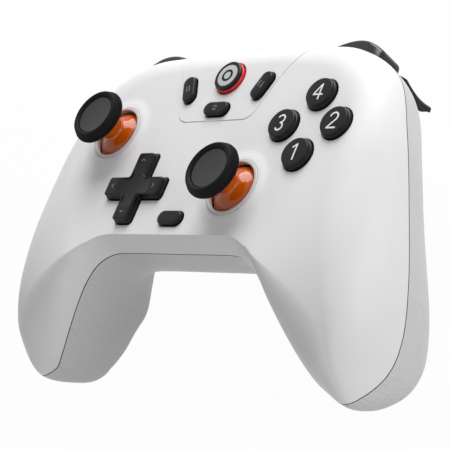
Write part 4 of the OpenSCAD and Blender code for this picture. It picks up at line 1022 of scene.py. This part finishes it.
@dataclass
class ThumbStick:
    """A thumb stick: knurled cap, dished pad, polished dome with its neck and shaft, and the trim ring.

    Attributes:
        side: left or right.
        cap_r, top, foot: radius, rim height and underside of the cap.
        dish_r, dish, bowl: radius and depth of the dished pad, and how far it rises to its rim.
        pivot: depth of the pivot below the face.
        dome_r, dome_wall, dome_arc: radius and wall of the dome, and the angles at its foot and top.
        shaft_r, shaft_foot: radius and lower end of the shaft.
        teeth, tooth, slant: knurl count round the rim, its depth, and how fast its grooves turn with
            height. The real knurl is finer; drawn coarser to show.
        around: points round the knurled rim.
    """

    side: str
    cap_r: float = 9.3
    top: float = 12.2
    foot: float = 8.5
    dish_r: float = 6.4
    dish: float = 1.2
    bowl: float = 0.3
    pivot: float = 8.0
    dome_r: float = 10.6
    dome_wall: float = 1.0
    dome_arc: Point = (10.0, 62.0)
    shaft_r: float = 1.5
    shaft_foot: float = -3.6
    teeth: int = 72
    tooth: float = 0.24
    slant: float = 4.2
    around: int = 672

    def turn(self, profile: Array, steps: int, z: float = 0.0, loop: bool = False) -> Patchwork:
        """Turns a profile about the stick's axis."""
        return Patchwork().lathe(profile, (*STICKS[self.side], z), steps, loop)

    def cap(self) -> Patchwork:
        """Makes the cap: a turned profile whose outer wall is knurled.

        The radius grows by the tooth depth times |sin(n t / 2 + k z)| |sin(n t / 2 - k z)|, faded in and
        out along the wall, which gives crossed diagonal grooves.

        Returns:
            The cap's sheet.
        """
        r, top, foot = self.cap_r - self.tooth, self.top, self.foot
        lip = eased([(self.dish_r, top - self.dish - 0.3, 0.0), (self.dish_r + 0.3, top - 0.5, 0.3),
                     (self.dish_r + 1.1, top, 0.9), (r - 0.9, top, 1.0), (r, top - 1.5, 1.2)], 12)
        wall = np.stack([np.full(26, r), np.linspace(top - 1.9, foot + 0.9, 26)], -1)
        under = eased([(r, foot + 0.8, 0.0), (r - 0.1, foot, 0.6), (3.9, foot, 0.3), (3.9, foot + 0.8, 0.0),
                       (0.0, foot + 0.8, 0.0)])
        profile = np.concatenate([lip[:-1], wall, under])
        spots = revolve(profile, (*STICKS[self.side], 0.0), self.around)
        t = np.linspace(0.0, 2.0 * np.pi, self.around, endpoint=False)
        h = profile[:, 1:]
        fade = smooth(foot + 0.3, foot + 0.9, h) * (1.0 - smooth(top - 0.75, top - 0.1, h))
        fade = fade * (profile[:, :1] > r - 1.2)
        run, rise = self.teeth / 2 * t, self.slant * h
        waves = np.abs(np.sin(run + rise)) * np.abs(np.sin(run - rise))
        grown = self.tooth * fade * waves
        spots[..., 0] += grown * np.cos(t)
        spots[..., 1] += grown * np.sin(t)
        return Patchwork().sheet(spots, wrap=True).fan(spots[0])

    def pad(self) -> Patchwork:
        """Makes the dished pad: its height over the dish's floor grows with the square of the radius."""
        floor, rim = self.top - self.dish, self.dish_r + 0.02
        r = np.linspace(0.0, rim, 24)
        bowl = np.stack([r, floor + self.bowl * (r / self.dish_r) ** 2 + 0.06], -1)
        skirt = np.array([[rim, floor - 0.6], [0.0, floor - 0.6]])
        return self.turn(np.concatenate([bowl, skirt]), 128)

    def dome(self) -> Patchwork:
        """Makes the dome: an arc of a sphere about the pivot and a flared neck, hollow round the shaft."""
        outer = np.radians(np.linspace(*self.dome_arc, 44))
        inner_r = self.dome_r - self.dome_wall
        foot_z = self.dome_r * math.sin(math.radians(self.dome_arc[0]))
        inner = np.arcsin(np.linspace(foot_z / inner_r, math.cos(math.asin(self.shaft_r / inner_r)), 24))
        arc = np.stack([self.dome_r * np.cos(outer), self.dome_r * np.sin(outer)], -1)
        neck = eased([tuple(arc[-1]) + (0.0,), (3.4, 10.6, 1.5), (4.1, 13.4, 2.0), (6.2, 16.35, 0.3),
                     (3.4, 16.4, 0.0), (3.4, 17.1, 0.0), (0.0, 17.1, 0.0)], 10)
        bowl = np.stack([inner_r * np.cos(inner), inner_r * np.sin(inner)], -1)[::-1]
        shaft = np.array([[0.0, self.shaft_foot], [self.shaft_r, self.shaft_foot]])
        return self.turn(np.concatenate([shaft, bowl, arc, neck[1:]]), 144, -self.pivot)

    def ring(self) -> Patchwork:
        """Makes the trim ring: a closed turned section with eased upper edges."""
        loop = eased([(8.95, -0.5, 0.0), (9.5, -0.5, 0.0), (9.5, 0.95, 0.3), (8.4, 0.95, 0.3),
                      (8.4, -0.5, 0.0), (8.95, -0.5, 0.0)])[:-1]
        return self.turn(loop, 144, loop=True)

    def build(self) -> None:
        """Builds and dresses the stick."""
        stick = f"{self.side}_stick"
        settle(f"{stick}_rim", self.cap(), RUBBER, stick, [f"{stick}_cap"], crease=50.0)
        settle(f"{stick}_pad", self.pad(), PAD_RUBBER, stick)
        settle(f"{stick}_ball", self.dome(), ORANGE, stick, [f"{stick}_dome"])
        settle(f"{stick}_trim", self.ring(), RING, "shell", [f"{stick}_ring"])


@dataclass
class FaceKeys:
    """The four round keys, each with a skirt, a step, a domed top and a printed numeral.

    Attributes:
        r, h: radius and height of a key.
        crown: rise of the domed top over its edge.
        size, stroke: height and line width of the numeral.
    """

    r: float = 5.26
    h: float = 2.0
    crown: float = 0.16
    size: float = 5.1
    stroke: float = 0.56

    def top(self, x: Array, y: Array) -> Array:
        """Height of the domed top, which falls with the square of the distance from the key's middle."""
        return self.h - self.crown * (x * x + y * y) / self.r**2

    def key(self, place: Point) -> Patchwork:
        """Makes a key by turning its profile."""
        edge = self.r - 0.42
        rim_z = self.h - self.crown * (edge / self.r) ** 2
        side = eased([(0.0, -4.5, 0.0), (2.2, -4.5, 0.0), (2.2, -3.5, 0.0), (6.46, -3.5, 0.0),
                      (6.46, -2.3, 0.0), (self.r, -2.3, 0.0), (self.r, 0.86, 0.16),
                      (edge + 0.16, 0.98, 0.06), (edge + 0.02, 1.12, 0.1), (edge, rim_z, 0.5),
                      (edge - 1.0, rim_z + 0.06, 0.0)], 8)
        r = np.linspace(edge - 1.0, 0.0, 16)[1:]
        dome = np.stack([r, self.top(r, 0.0 * r)], -1)
        return Patchwork().lathe(np.concatenate([side, dome]), (*place, 0.0), 112)

    def mark(self, place: Point, numeral: Numeral) -> Patchwork:
        """Draws the numeral on the key's top."""
        lines = [line * self.size + np.array(place) for line in numeral.strokes()]
        return inked(lines, self.stroke, lambda x, y: self.top(x - place[0], y - place[1]))

    def build(self) -> None:
        """Builds and dresses the keys and their numerals."""
        for node, (place, numeral) in KEYS.items():
            settle(f"key_{numeral.value}", self.key(place), KEY, node, [node])
            settle(f"key_{numeral.value}_mark", self.mark(place, numeral), INK, node, crease=30.0)


@dataclass
class CrossPad:
    """The cross pad: eased arms over a skirt, a dished middle and small direction marks.

    Attributes:
        span, arm: half span of the cross and half width of an arm.
        h: height above the face.
        corner, nook: radius of the outer corners and of the inner ones.
        dish, dish_r: depth and sphere radius of the dished middle.
        stroke: line width of the marks.
    """

    span: float = 12.3
    arm: float = 3.6
    h: float = 2.35
    corner: float = 1.3
    nook: float = 0.5
    dish: float = 0.7
    dish_r: float = 40.0
    stroke: float = 0.24

    def outline(self, grow: float) -> Array:
        """Cross outline, offset outwards: four arms of straight runs, corner arcs and inner arcs.

        Args:
            grow: the offset, negative for inwards.

        Returns:
            Points in order round the cross.
        """
        span, arm = self.span + grow, self.arm + grow
        c, n = self.corner + grow * 0.8, max(self.nook - grow, 0.06)
        q = np.radians(np.linspace(0.0, 90.0, 9))
        share = np.linspace(0.0, 1.0, 9)[1:-1]
        low = np.stack([span - c + c * np.sin(q), -(arm - c) - c * np.cos(q)], -1)
        high = low[::-1] * (1.0, -1.0)
        end = low[-1] + share[:, None] * (high[0] - low[-1])
        inner = np.stack([arm + n - n * np.sin(q), arm + n - n * np.cos(q)], -1)
        up = high[-1] + share[:, None] * (inner[0] - high[-1])
        start = np.array([arm + n, -arm])
        down = start + share[:, None] * (low[0] - start)
        quarter = np.concatenate([down, low, end, high, up, inner])
        spin = np.array([[0.0, 1.0], [-1.0, 0.0]])
        return np.concatenate([quarter @ np.linalg.matrix_power(spin, k) for k in range(4)])

    def top(self, x: Array, y: Array) -> Array:
        """Height of the top at x and y from the middle: flat, with a sphere's dish taken out of it."""
        return np.minimum(self.h, self.h - self.dish + (x * x + y * y) / (2.0 * self.dish_r))

    def patch(self) -> Patchwork:
        """Makes the pad from offset outlines, closed by rings that shrink to the middle of the top."""
        rings = [level(self.outline(g) + np.array(PAD), z) for g, z in (
            (0.0, -4.2), (0.0, 0.62), (-0.06, 0.74), (-0.3, 0.84), (-0.34, 0.98), (-0.34, self.h - 0.62),
            (-0.4, self.h - 0.36), (-0.54, self.h - 0.14), (-0.74, self.h - 0.03), (-0.95, self.h))]
        inner = self.outline(-0.95)
        for share in np.linspace(1.0, 0.0, 30)[1:]:
            p = inner * share
            rings.append(np.concatenate([p + np.array(PAD), self.top(*p.T)[:, None]], 1))
        disc = eased([(0.0, -4.9, 0.0), (12.6, -4.9, 0.0), (12.6, -3.7, 0.0), (0.0, -3.7, 0.0)])
        made = Patchwork().sheet(np.stack(rings), wrap=True).fan(rings[0])
        return made.lathe(disc, (*PAD, 0.0), 96)

    def marks(self) -> Patchwork:
        """Draws a small chevron near the end of each arm."""
        lines = []
        for k in range(4):
            chevron = turned(np.array([[8.9, -0.62], [9.55, 0.0], [8.9, 0.62]]), 90.0 * k, PAD)
            lines += [chevron[:2], chevron[1:]]
        return inked(lines, self.stroke, lambda x, y: self.top(x - PAD[0], y - PAD[1]))

    def build(self) -> None:
        """Builds and dresses the pad."""
        settle("cross_pad", self.patch(), KEY, "dpad", ["dpad"], crease=38.0)
        settle("cross_pad_marks", self.marks(), FAINT_INK, "dpad")


@dataclass
class CentreKeys:
    """The four small round-ended keys and the home key on its red ring.

    Attributes:
        half, r: half length between end centres and end radius of a small key.
        h, lift: height of a small key, and how much higher those in the panel stand.
        stroke: line width of the marks.
        home_r, home_top: radius and height of the home key.
    """

    half: float = 2.6
    r: float = 2.33
    h: float = 1.3
    lift: float = 0.3
    stroke: float = 0.26
    home_r: float = 5.14
    home_top: float = 2.0

    def top(self, name: str) -> float:
        """Height of a small key's top."""
        return self.h + (0.0 if name == "function_button" else self.lift)

    def small(self, name: str) -> Patchwork:
        """Makes a small key: outlines that draw in over an eased edge, then shrink to the middle line."""
        x, y, turn = SMALL[name]
        top = self.top(name)
        a = np.radians(np.linspace(0.0, 80.0, 8))
        steps = [(0.0, -4.0), (0.0, top - 0.6)]
        steps += [(0.5 - 0.5 * math.cos(t), top - 0.55 + 0.5 * math.sin(t)) for t in a]
        steps += [(s, top + 0.06 * s / self.r) for s in np.linspace(0.75, self.r - 0.001, 8)]
        rings = [level(turned(stadium(self.half, self.r - g), turn, (x, y)), z) for g, z in steps]
        made = Patchwork().tower(rings)
        foot = [level(turned(stadium(self.half, self.r + 1.0), turn, (x, y)), z) for z in (-4.6, -3.6)]
        return made.tower(foot)

    def small_marks(self, name: str) -> Patchwork:
        """Draws a plain mark: two bars, three bars, a ring or one bar."""
        x, y, turn = SMALL[name]
        top = self.top(name) + 0.03
        if name == "share_button":
            lines = [bow(0.0, 0.0, 0.7, 0.0, 360.0)]
        else:
            rows = {"view_button": (-0.5, 0.5), "menu_button": (-0.75, 0.0, 0.75)}.get(name, (0.0,))
            lines = [np.array([[-1.0, v], [1.0, v]]) for v in rows]
        lines = [turned(line, turn, (x, y)) for line in lines]
        return inked(lines, self.stroke, lambda a, b: np.full_like(a, top))

    def home(self) -> Patchwork:
        """Makes the home key: a stem under a bevelled disc with a shallow seat for the inset."""
        r, top = self.home_r, self.home_top
        profile = eased([(0.0, -4.6, 0.0), (r - 1.0, -4.6, 0.0), (r - 1.0, top - 0.8, 0.0),
                         (r, top - 0.8, 0.08), (r, top - 0.22, 0.1), (r - 0.35, top, 0.12),
                         (3.95, top, 0.06), (3.9, top - 0.12, 0.0), (0.0, top - 0.12, 0.0)])
        return Patchwork().lathe(profile, (*HOME, 0.0))

    def inset(self) -> Patchwork:
        """Makes the pale inset: a low disc with an eased edge."""
        top = self.home_top - 0.03
        profile = eased([(0.0, top - 0.3, 0.0), (3.84, top - 0.3, 0.0), (3.84, top, 0.06), (0.0, top, 0.0)])
        return Patchwork().lathe(profile, (*HOME, 0.0), 96)

    def home_mark(self) -> Patchwork:
        """Draws a plain ring on the inset."""
        ring = bow(*HOME, 1.75, 0.0, 360.0)
        top = self.home_top - 0.03
        return inked([ring], 0.85, lambda x, y: np.full_like(x, top))

    def halo(self) -> Patchwork:
        """Makes the red ring under the home key: a closed turned section with an eased upper edge."""
        r, top = self.home_r, self.home_top - 0.9
        loop = eased([(r - 0.5, -4.6, 0.0), (r + 1.2, -4.6, 0.0), (r + 1.2, -3.6, 0.0),
                      (r + 0.3, -3.6, 0.0), (r + 0.3, top, 0.2), (r - 0.9, top, 0.0),
                      (r - 0.9, -4.6, 0.0), (r - 0.5, -4.6, 0.0)])[:-1]
        return Patchwork().lathe(loop, (*HOME, 0.0), loop=True)

    def build(self) -> None:
        """Builds and dresses the keys of the middle."""
        for name in SMALL:
            settle(name.replace("button", "key"), self.small(name), KEY, name, [name])
            settle(name.replace("button", "mark"), self.small_marks(name), FAINT_INK, name)
        settle("home_key", self.home(), KEY, "home", ["home_button"], crease=25.0)
        settle("home_inset", self.inset(), INSET, "home")
        settle("home_mark", self.home_mark(), KEY, "home")
        settle("home_halo", self.halo(), RED, "home", ["home_ring"])


# Shoulders


def end_steps(end: float) -> Array:
    """Distances from a bar's end that crowd towards it, over the length of its rounding."""
    return end * (1.0 - np.cos(np.linspace(0.0, np.pi / 2, 8)))


def draw_in(x: Array, low: float, high: float, end: float) -> Array:
    """How far a bar's section draws in near either end: a quarter circle of radius end."""
    near = np.clip(np.minimum(x - low, high - x) / end, 0.0, 1.0)
    return end * (1.0 - np.sqrt(1.0 - (1.0 - near) ** 2))


@dataclass
class Shoulder:
    """One side's bumper and trigger, worked out for the right and mirrored for the left.

    Attributes:
        side: left or right.
        form: the shell whose top edge they follow.
        x0, x1, proud, swell: ends of the bumper, how far it stands out, and the length of its swell.
        swell_from, swell_turn: share of the swell at which it starts, and its angle in degrees at the end.
        top, foot: upper and lower faces of the bumper.
        t0, t1, t_top, lip: sides of the trigger, its upper edge and depth of its lip.
        axle: (y, z) of the trigger's axle.
        bumper_end, trigger_end: rounding of the ends of each.
        barrel_r, post_r, post_y: radii of the bumper's barrel and of its bore, and the post's y.
        core_r, core_floor: radii of the trigger's core, round the axle and under it.
    """

    side: str
    form: ShellForm
    x0: float = 26.5
    x1: float = 51.6
    proud: float = 4.1
    swell: float = 27.7
    swell_from: float = 0.08
    swell_turn: float = 151.0
    top: float = -6.1
    foot: float = -16.1
    t0: float = 34.0
    t1: float = 55.2
    t_top: float = -17.1
    lip: float = 30.2
    axle: Point = (32.6, -20.5)
    bumper_end: float = 1.1
    trigger_end: float = 0.9
    barrel_r: float = 2.4
    post_r: float = 0.95
    post_y: float = 35.6
    core_r: float = 3.0
    core_floor: float = 8.0

    def rail(self, x: Array, axis: int = 1) -> Array:
        """Shell's top edge at x, read off a fine run of its outer rail: its y, or its z for axis 2."""
        s = self.form.station(np.linspace(0.0, 4.0, 800))
        return np.interp(x, s[:, 3], s[:, 3 + axis])

    def bumper(self) -> Patchwork:
        """Makes the bumper: sections across x with rounded outer edges, drawn in at both ends.

        The outer face stands off the rail by proud times the sine of an angle that runs from 0 to
        swell_turn.

        Returns:
            The bumper's sheets.
        """
        end = self.bumper_end
        d = np.concatenate([end_steps(end), [2.0]])
        x = np.concatenate([self.x0 + d, np.linspace(self.x0 + 2.5, self.x1 - 2.5, 60), self.x1 - d[::-1]])
        t = (x - self.x0) / self.swell
        share = np.clip((t - self.swell_from) / (1.0 - self.swell_from), 0.0, 1.0)
        y1 = self.rail(x) + self.proud * np.sin(np.radians(self.swell_turn) * share)
        top = np.minimum(self.top, self.rail(x, 2) - 0.5)
        y0 = np.maximum(self.rail(x) - 3.4, 33.8)
        draw = draw_in(x, self.x0, self.x1, end)
        a = np.radians(np.linspace(0.0, 90.0, 10))
        e = np.minimum(1.0, (y1 - y0) / 2.0)
        y = np.stack([y0 + draw, y0 + draw, *(y1 - draw - e + e * np.sin(k) for k in a),
                      *(y1 - draw - e + e * np.cos(k) for k in a)], 1)
        z = np.stack([top - draw, self.foot + draw, *(self.foot + draw + e - e * np.cos(k) for k in a),
                      *(top - draw - e + e * np.sin(k) for k in a)], 1)
        rings = np.stack([np.broadcast_to(x[:, None], y.shape), y, z], -1)
        made = Patchwork().tower(rings)
        post, r, low, high = self.x0 + self.barrel_r, self.barrel_r, self.foot, self.top - 1.0
        barrel = np.array([(self.post_r, low), (r, low), (r, high), (self.post_r, high)])
        made.lathe(barrel, (post, self.post_y, 0.0), 40, loop=True)
        web = self.rail(np.array([post]))[0] - 3.0
        return made.block((self.x0 + 1.6, 37.6, self.foot + 1.0), (self.x0 + 3.2, web, self.top - 1.5))

    def blade(self, z: Array) -> Array:
        """Trigger's outer face as an offset from the top edge: hollow above the lip, then curled out."""
        s = (self.t_top - z) / (self.lip + self.t_top)
        return 0.8 - 1.8 * np.sin(np.radians(125.0 * s)) + 0.4 * s * s

    def trigger(self) -> Patchwork:
        """Makes the trigger: a curved blade with a rounded lip and eased sides, on a core round the axle.

        Returns:
            The trigger's sheets.
        """
        end = self.trigger_end
        d = end_steps(end)
        x = np.concatenate([self.t0 + d, np.linspace(self.t0 + 1.6, self.t1 - 1.6, 36), self.t1 - d[::-1]])
        draw = draw_in(x, self.t0, self.t1, end)[:, None]
        z = np.linspace(self.t_top, -self.lip, 34)
        front = self.blade(z)
        thick = 3.4 - 1.5 * smooth(-26.0, -self.lip, z)
        a = np.radians(np.linspace(0.0, 180.0, 12))[1:-1]
        tip = thick[-1] / 2.0
        lip_y, lip_z = front[-1] - tip + tip * np.cos(a), -self.lip - 0.5 * np.sin(a)
        centre = front - thick / 2
        mid = np.concatenate([centre, np.full(len(a), front[-1] - tip), centre[::-1]])
        y = np.concatenate([front, lip_y, (front - thick)[::-1]])
        z = np.concatenate([z, lip_z, z[::-1]])
        pull = np.clip(np.abs(y - mid), 1e-6, None)
        y = mid + (y - mid) * np.maximum(1.0 - draw / pull, 0.05)
        z = np.clip(z + 0.0 * draw, -self.lip - 0.5 + draw, self.t_top - draw)
        rings = np.stack([np.broadcast_to(x[:, None], y.shape), self.rail(x)[:, None] + y, z], -1)
        made = Patchwork().tower(rings)
        y0, z0 = self.axle
        turn = np.radians([110.0, 130.0, 150.0, 170.0, 190.0, 210.0, 230.0])
        floor = np.radians([-82.0, -75.0, -68.0, -62.0, -56.0])
        xs = np.linspace(self.t0 + 2.4, self.t1 - 5.4, 12)
        inside = np.linspace(-27.9, -17.6, 8)
        near, far = self.core_r, self.core_floor
        y = np.concatenate([y0 + near * np.cos(turn), y0 + far * np.cos(floor)])
        z = np.concatenate([z0 + near * np.sin(turn), z0 + far * np.sin(floor), inside])
        behind = self.blade(inside) - 1.7
        return made.tower([np.stack([np.full(len(z), v), np.r_[y, self.rail(v) + behind], z], -1)
                           for v in xs])

    def build(self) -> None:
        """Builds and dresses the bumper and the trigger."""
        flip = self.side == "left"
        bumper, trigger = f"{self.side}_bumper", f"{self.side}_trigger"
        settle(f"{bumper}_bar", self.bumper(), GLOSS, bumper, [bumper],
               crease=40.0, flip=flip)
        settle(f"{trigger}_blade", self.trigger(), TRIGGER, trigger, [trigger],
               crease=40.0, flip=flip)


@dataclass
class Inside:
    """The hidden pieces, which keep their solids and get a finish each.

    Attributes:
        finishes: the finish of each group, by a part of the node's name.
    """

    finishes: tuple[tuple[str, Finish], ...] = (
        ("membrane", SILICONE), ("board_screws", STEEL), ("main_board", BOARD), ("battery", FOIL),
        ("usb", STEEL), ("shell_screws", SCREW), ("pin", STEEL), ("spring", STEEL),
        ("motor", STEEL), ("weight", STEEL),
        ("dpad_pivot", STEEL), ("_pivot", NYLON), ("gimbal", NYLON), ("module", NYLON), ("bracket", NYLON),
        ("switches", NYLON))

    def build(self) -> None:
        """Dresses every solid that still shows."""
        for name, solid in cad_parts.items():
            if solid.hide_render:
                continue
            finish = next(f for part, f in self.finishes if part in name)
            solid.data.materials.clear()
            solid.data.materials.append(finish.material())
            LOG.info("%s: dressed as %s", name, finish.name)


# Studio


@dataclass
class Studio:
    """Camera, soft lamps, pale floor and white surroundings.

    Attributes:
        eye: the camera's place in the face frame.
        right, down, ahead: its axes.
        focal_px, picture_px, sensor_mm: focal length and picture width in pixels, and the sensor's width.
        lamps: (name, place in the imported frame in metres, size in metres, watts).
        aim: the point that the lamps are turned to, in metres.
        floor_half, floor_z: half width and height of the floor, in metres.
        glow: share of the floor's white that the eye sees over its shadow.
        soft: strength of the surroundings as light on the pad.
    """

    eye: tuple[float, float, float] = (412.733, -212.233, 332.379)
    right: tuple[float, float, float] = (0.702899, 0.361843, -0.612374)
    down: tuple[float, float, float] = (0.004128, -0.862996, -0.505194)
    ahead: tuple[float, float, float] = (-0.711278, 0.352573, -0.608093)
    focal_px: float = 1894.37
    picture_px: float = 450.0
    sensor_mm: float = 36.0
    aim: tuple[float, float, float] = (0.0, 0.0, 0.04)
    floor_half: float = 3.0
    floor_z: float = -4e-4
    glow: float = 0.97
    soft: float = 0.22
    lamps: tuple[tuple[str, tuple[float, float, float], float, float], ...] = (
        ("overhead_softbox", (-0.05, 0.6, 0.46), 0.5, 5.2),
        ("side_softbox", (0.9, 0.1, 0.25), 0.6, 3.0),
        ("front_fill", (0.4, -0.8, 0.35), 0.6, 1.2))

    def camera(self) -> None:
        """Places the camera at the photograph's angle."""
        data = bpy.data.cameras.new("camera")
        data.sensor_fit, data.sensor_width = "HORIZONTAL", self.sensor_mm
        data.lens = self.focal_px * self.sensor_mm / self.picture_px
        data.clip_start, data.clip_end = 0.01, 20.0
        eye = add_object("camera", data)
        turn = np.array([self.right, -np.array(self.down), -np.array(self.ahead)]).T
        place = (np.array(self.eye) + SHIFT) * 1e-3
        eye.matrix_world = Matrix([[*turn[i], place[i]] for i in range(3)] + [[0.0, 0.0, 0.0, 1.0]])
        bpy.context.scene.camera = eye

    def light(self) -> None:
        """Hangs the lamps, each turned to the middle of the pad."""
        for name, place, size, watts in self.lamps:
            data = bpy.data.lights.new(name, "AREA")
            data.size, data.energy = size, watts
            lamp = add_object(name, data)
            lamp.location = place
            towards = Vector(self.aim) - lamp.location
            lamp.rotation_euler = towards.to_track_quat("-Z", "Y").to_euler()

    def seen(self, tree: bpy.types.NodeTree) -> bpy.types.NodeSocket:
        """Returns 1 for rays from the camera, mirrors and glass, else 0."""
        path = add_node(tree, "ShaderNodeLightPath", {}).outputs
        found = path["Is Camera Ray"]
        for ray in ("Is Glossy Ray", "Is Transmission Ray"):
            found = add_node(tree, "ShaderNodeMath", {0: found, 1: path[ray]}, operation="MAXIMUM").outputs[0]
        return found

    def floor(self) -> None:
        """Lays the floor: white to the eye, with the pad's shadow showing through faintly."""
        made = bpy.data.materials.new("studio_floor")
        made.use_nodes = True
        tree = made.node_tree
        tree.nodes.remove(tree.nodes["Principled BSDF"])
        matt = add_node(tree, "ShaderNodeBsdfDiffuse", {"Color": linear("#ebebeb")})
        glow = add_node(tree, "ShaderNodeEmission", {"Color": (1.0, 1.0, 1.0, 1.0), "Strength": 1.0})
        share = add_node(tree, "ShaderNodeMath", {0: self.seen(tree), 1: self.glow}, operation="MULTIPLY")
        both = add_node(tree, "ShaderNodeMixShader",
                        {0: share.outputs[0], 1: matt.outputs[0], 2: glow.outputs[0]})
        tree.links.new(both.outputs[0], tree.nodes["Material Output"].inputs[0])
        data = bpy.data.meshes.new("floor")
        corners = ((-1.0, -1.0), (1.0, -1.0), (1.0, 1.0), (-1.0, 1.0))
        spots = [(x * self.floor_half, y * self.floor_half, self.floor_z) for x, y in corners]
        data.from_pydata(spots, [], [(0, 1, 2, 3)])
        data.materials.append(made)
        floor = add_object("floor", data)

    def world(self) -> None:
        """Surrounds the pad with soft grey light that looks white to the eye."""
        made = bpy.data.worlds.new("studio")
        made.use_nodes = True
        tree = made.node_tree
        back = tree.nodes["Background"]
        strength = add_node(tree, "ShaderNodeMapRange",
                            {"Value": self.seen(tree), "To Min": self.soft, "To Max": 1.0})
        back.inputs["Color"].default_value = (1.0, 1.0, 1.0, 1.0)
        tree.links.new(strength.outputs[0], back.inputs["Strength"])
        bpy.context.scene.world = made

    def build(self) -> None:
        """Sets up the whole studio."""
        self.camera()
        self.light()
        self.floor()
        self.world()
        bpy.context.scene.view_settings.view_transform = "Standard"


def main() -> None:
    """Builds the pad round its frame."""
    logging.basicConfig(level=logging.INFO, format="%(message)s")
    Studio().build()
    body = Body()
    body.build()
    for side in ("left", "right"):
        ThumbStick(side).build()
        Shoulder(side, body.form).build()
    FaceKeys().build()
    CrossPad().build()
    CentreKeys().build()
    Inside().build()


if __name__ == "__main__":
    main()
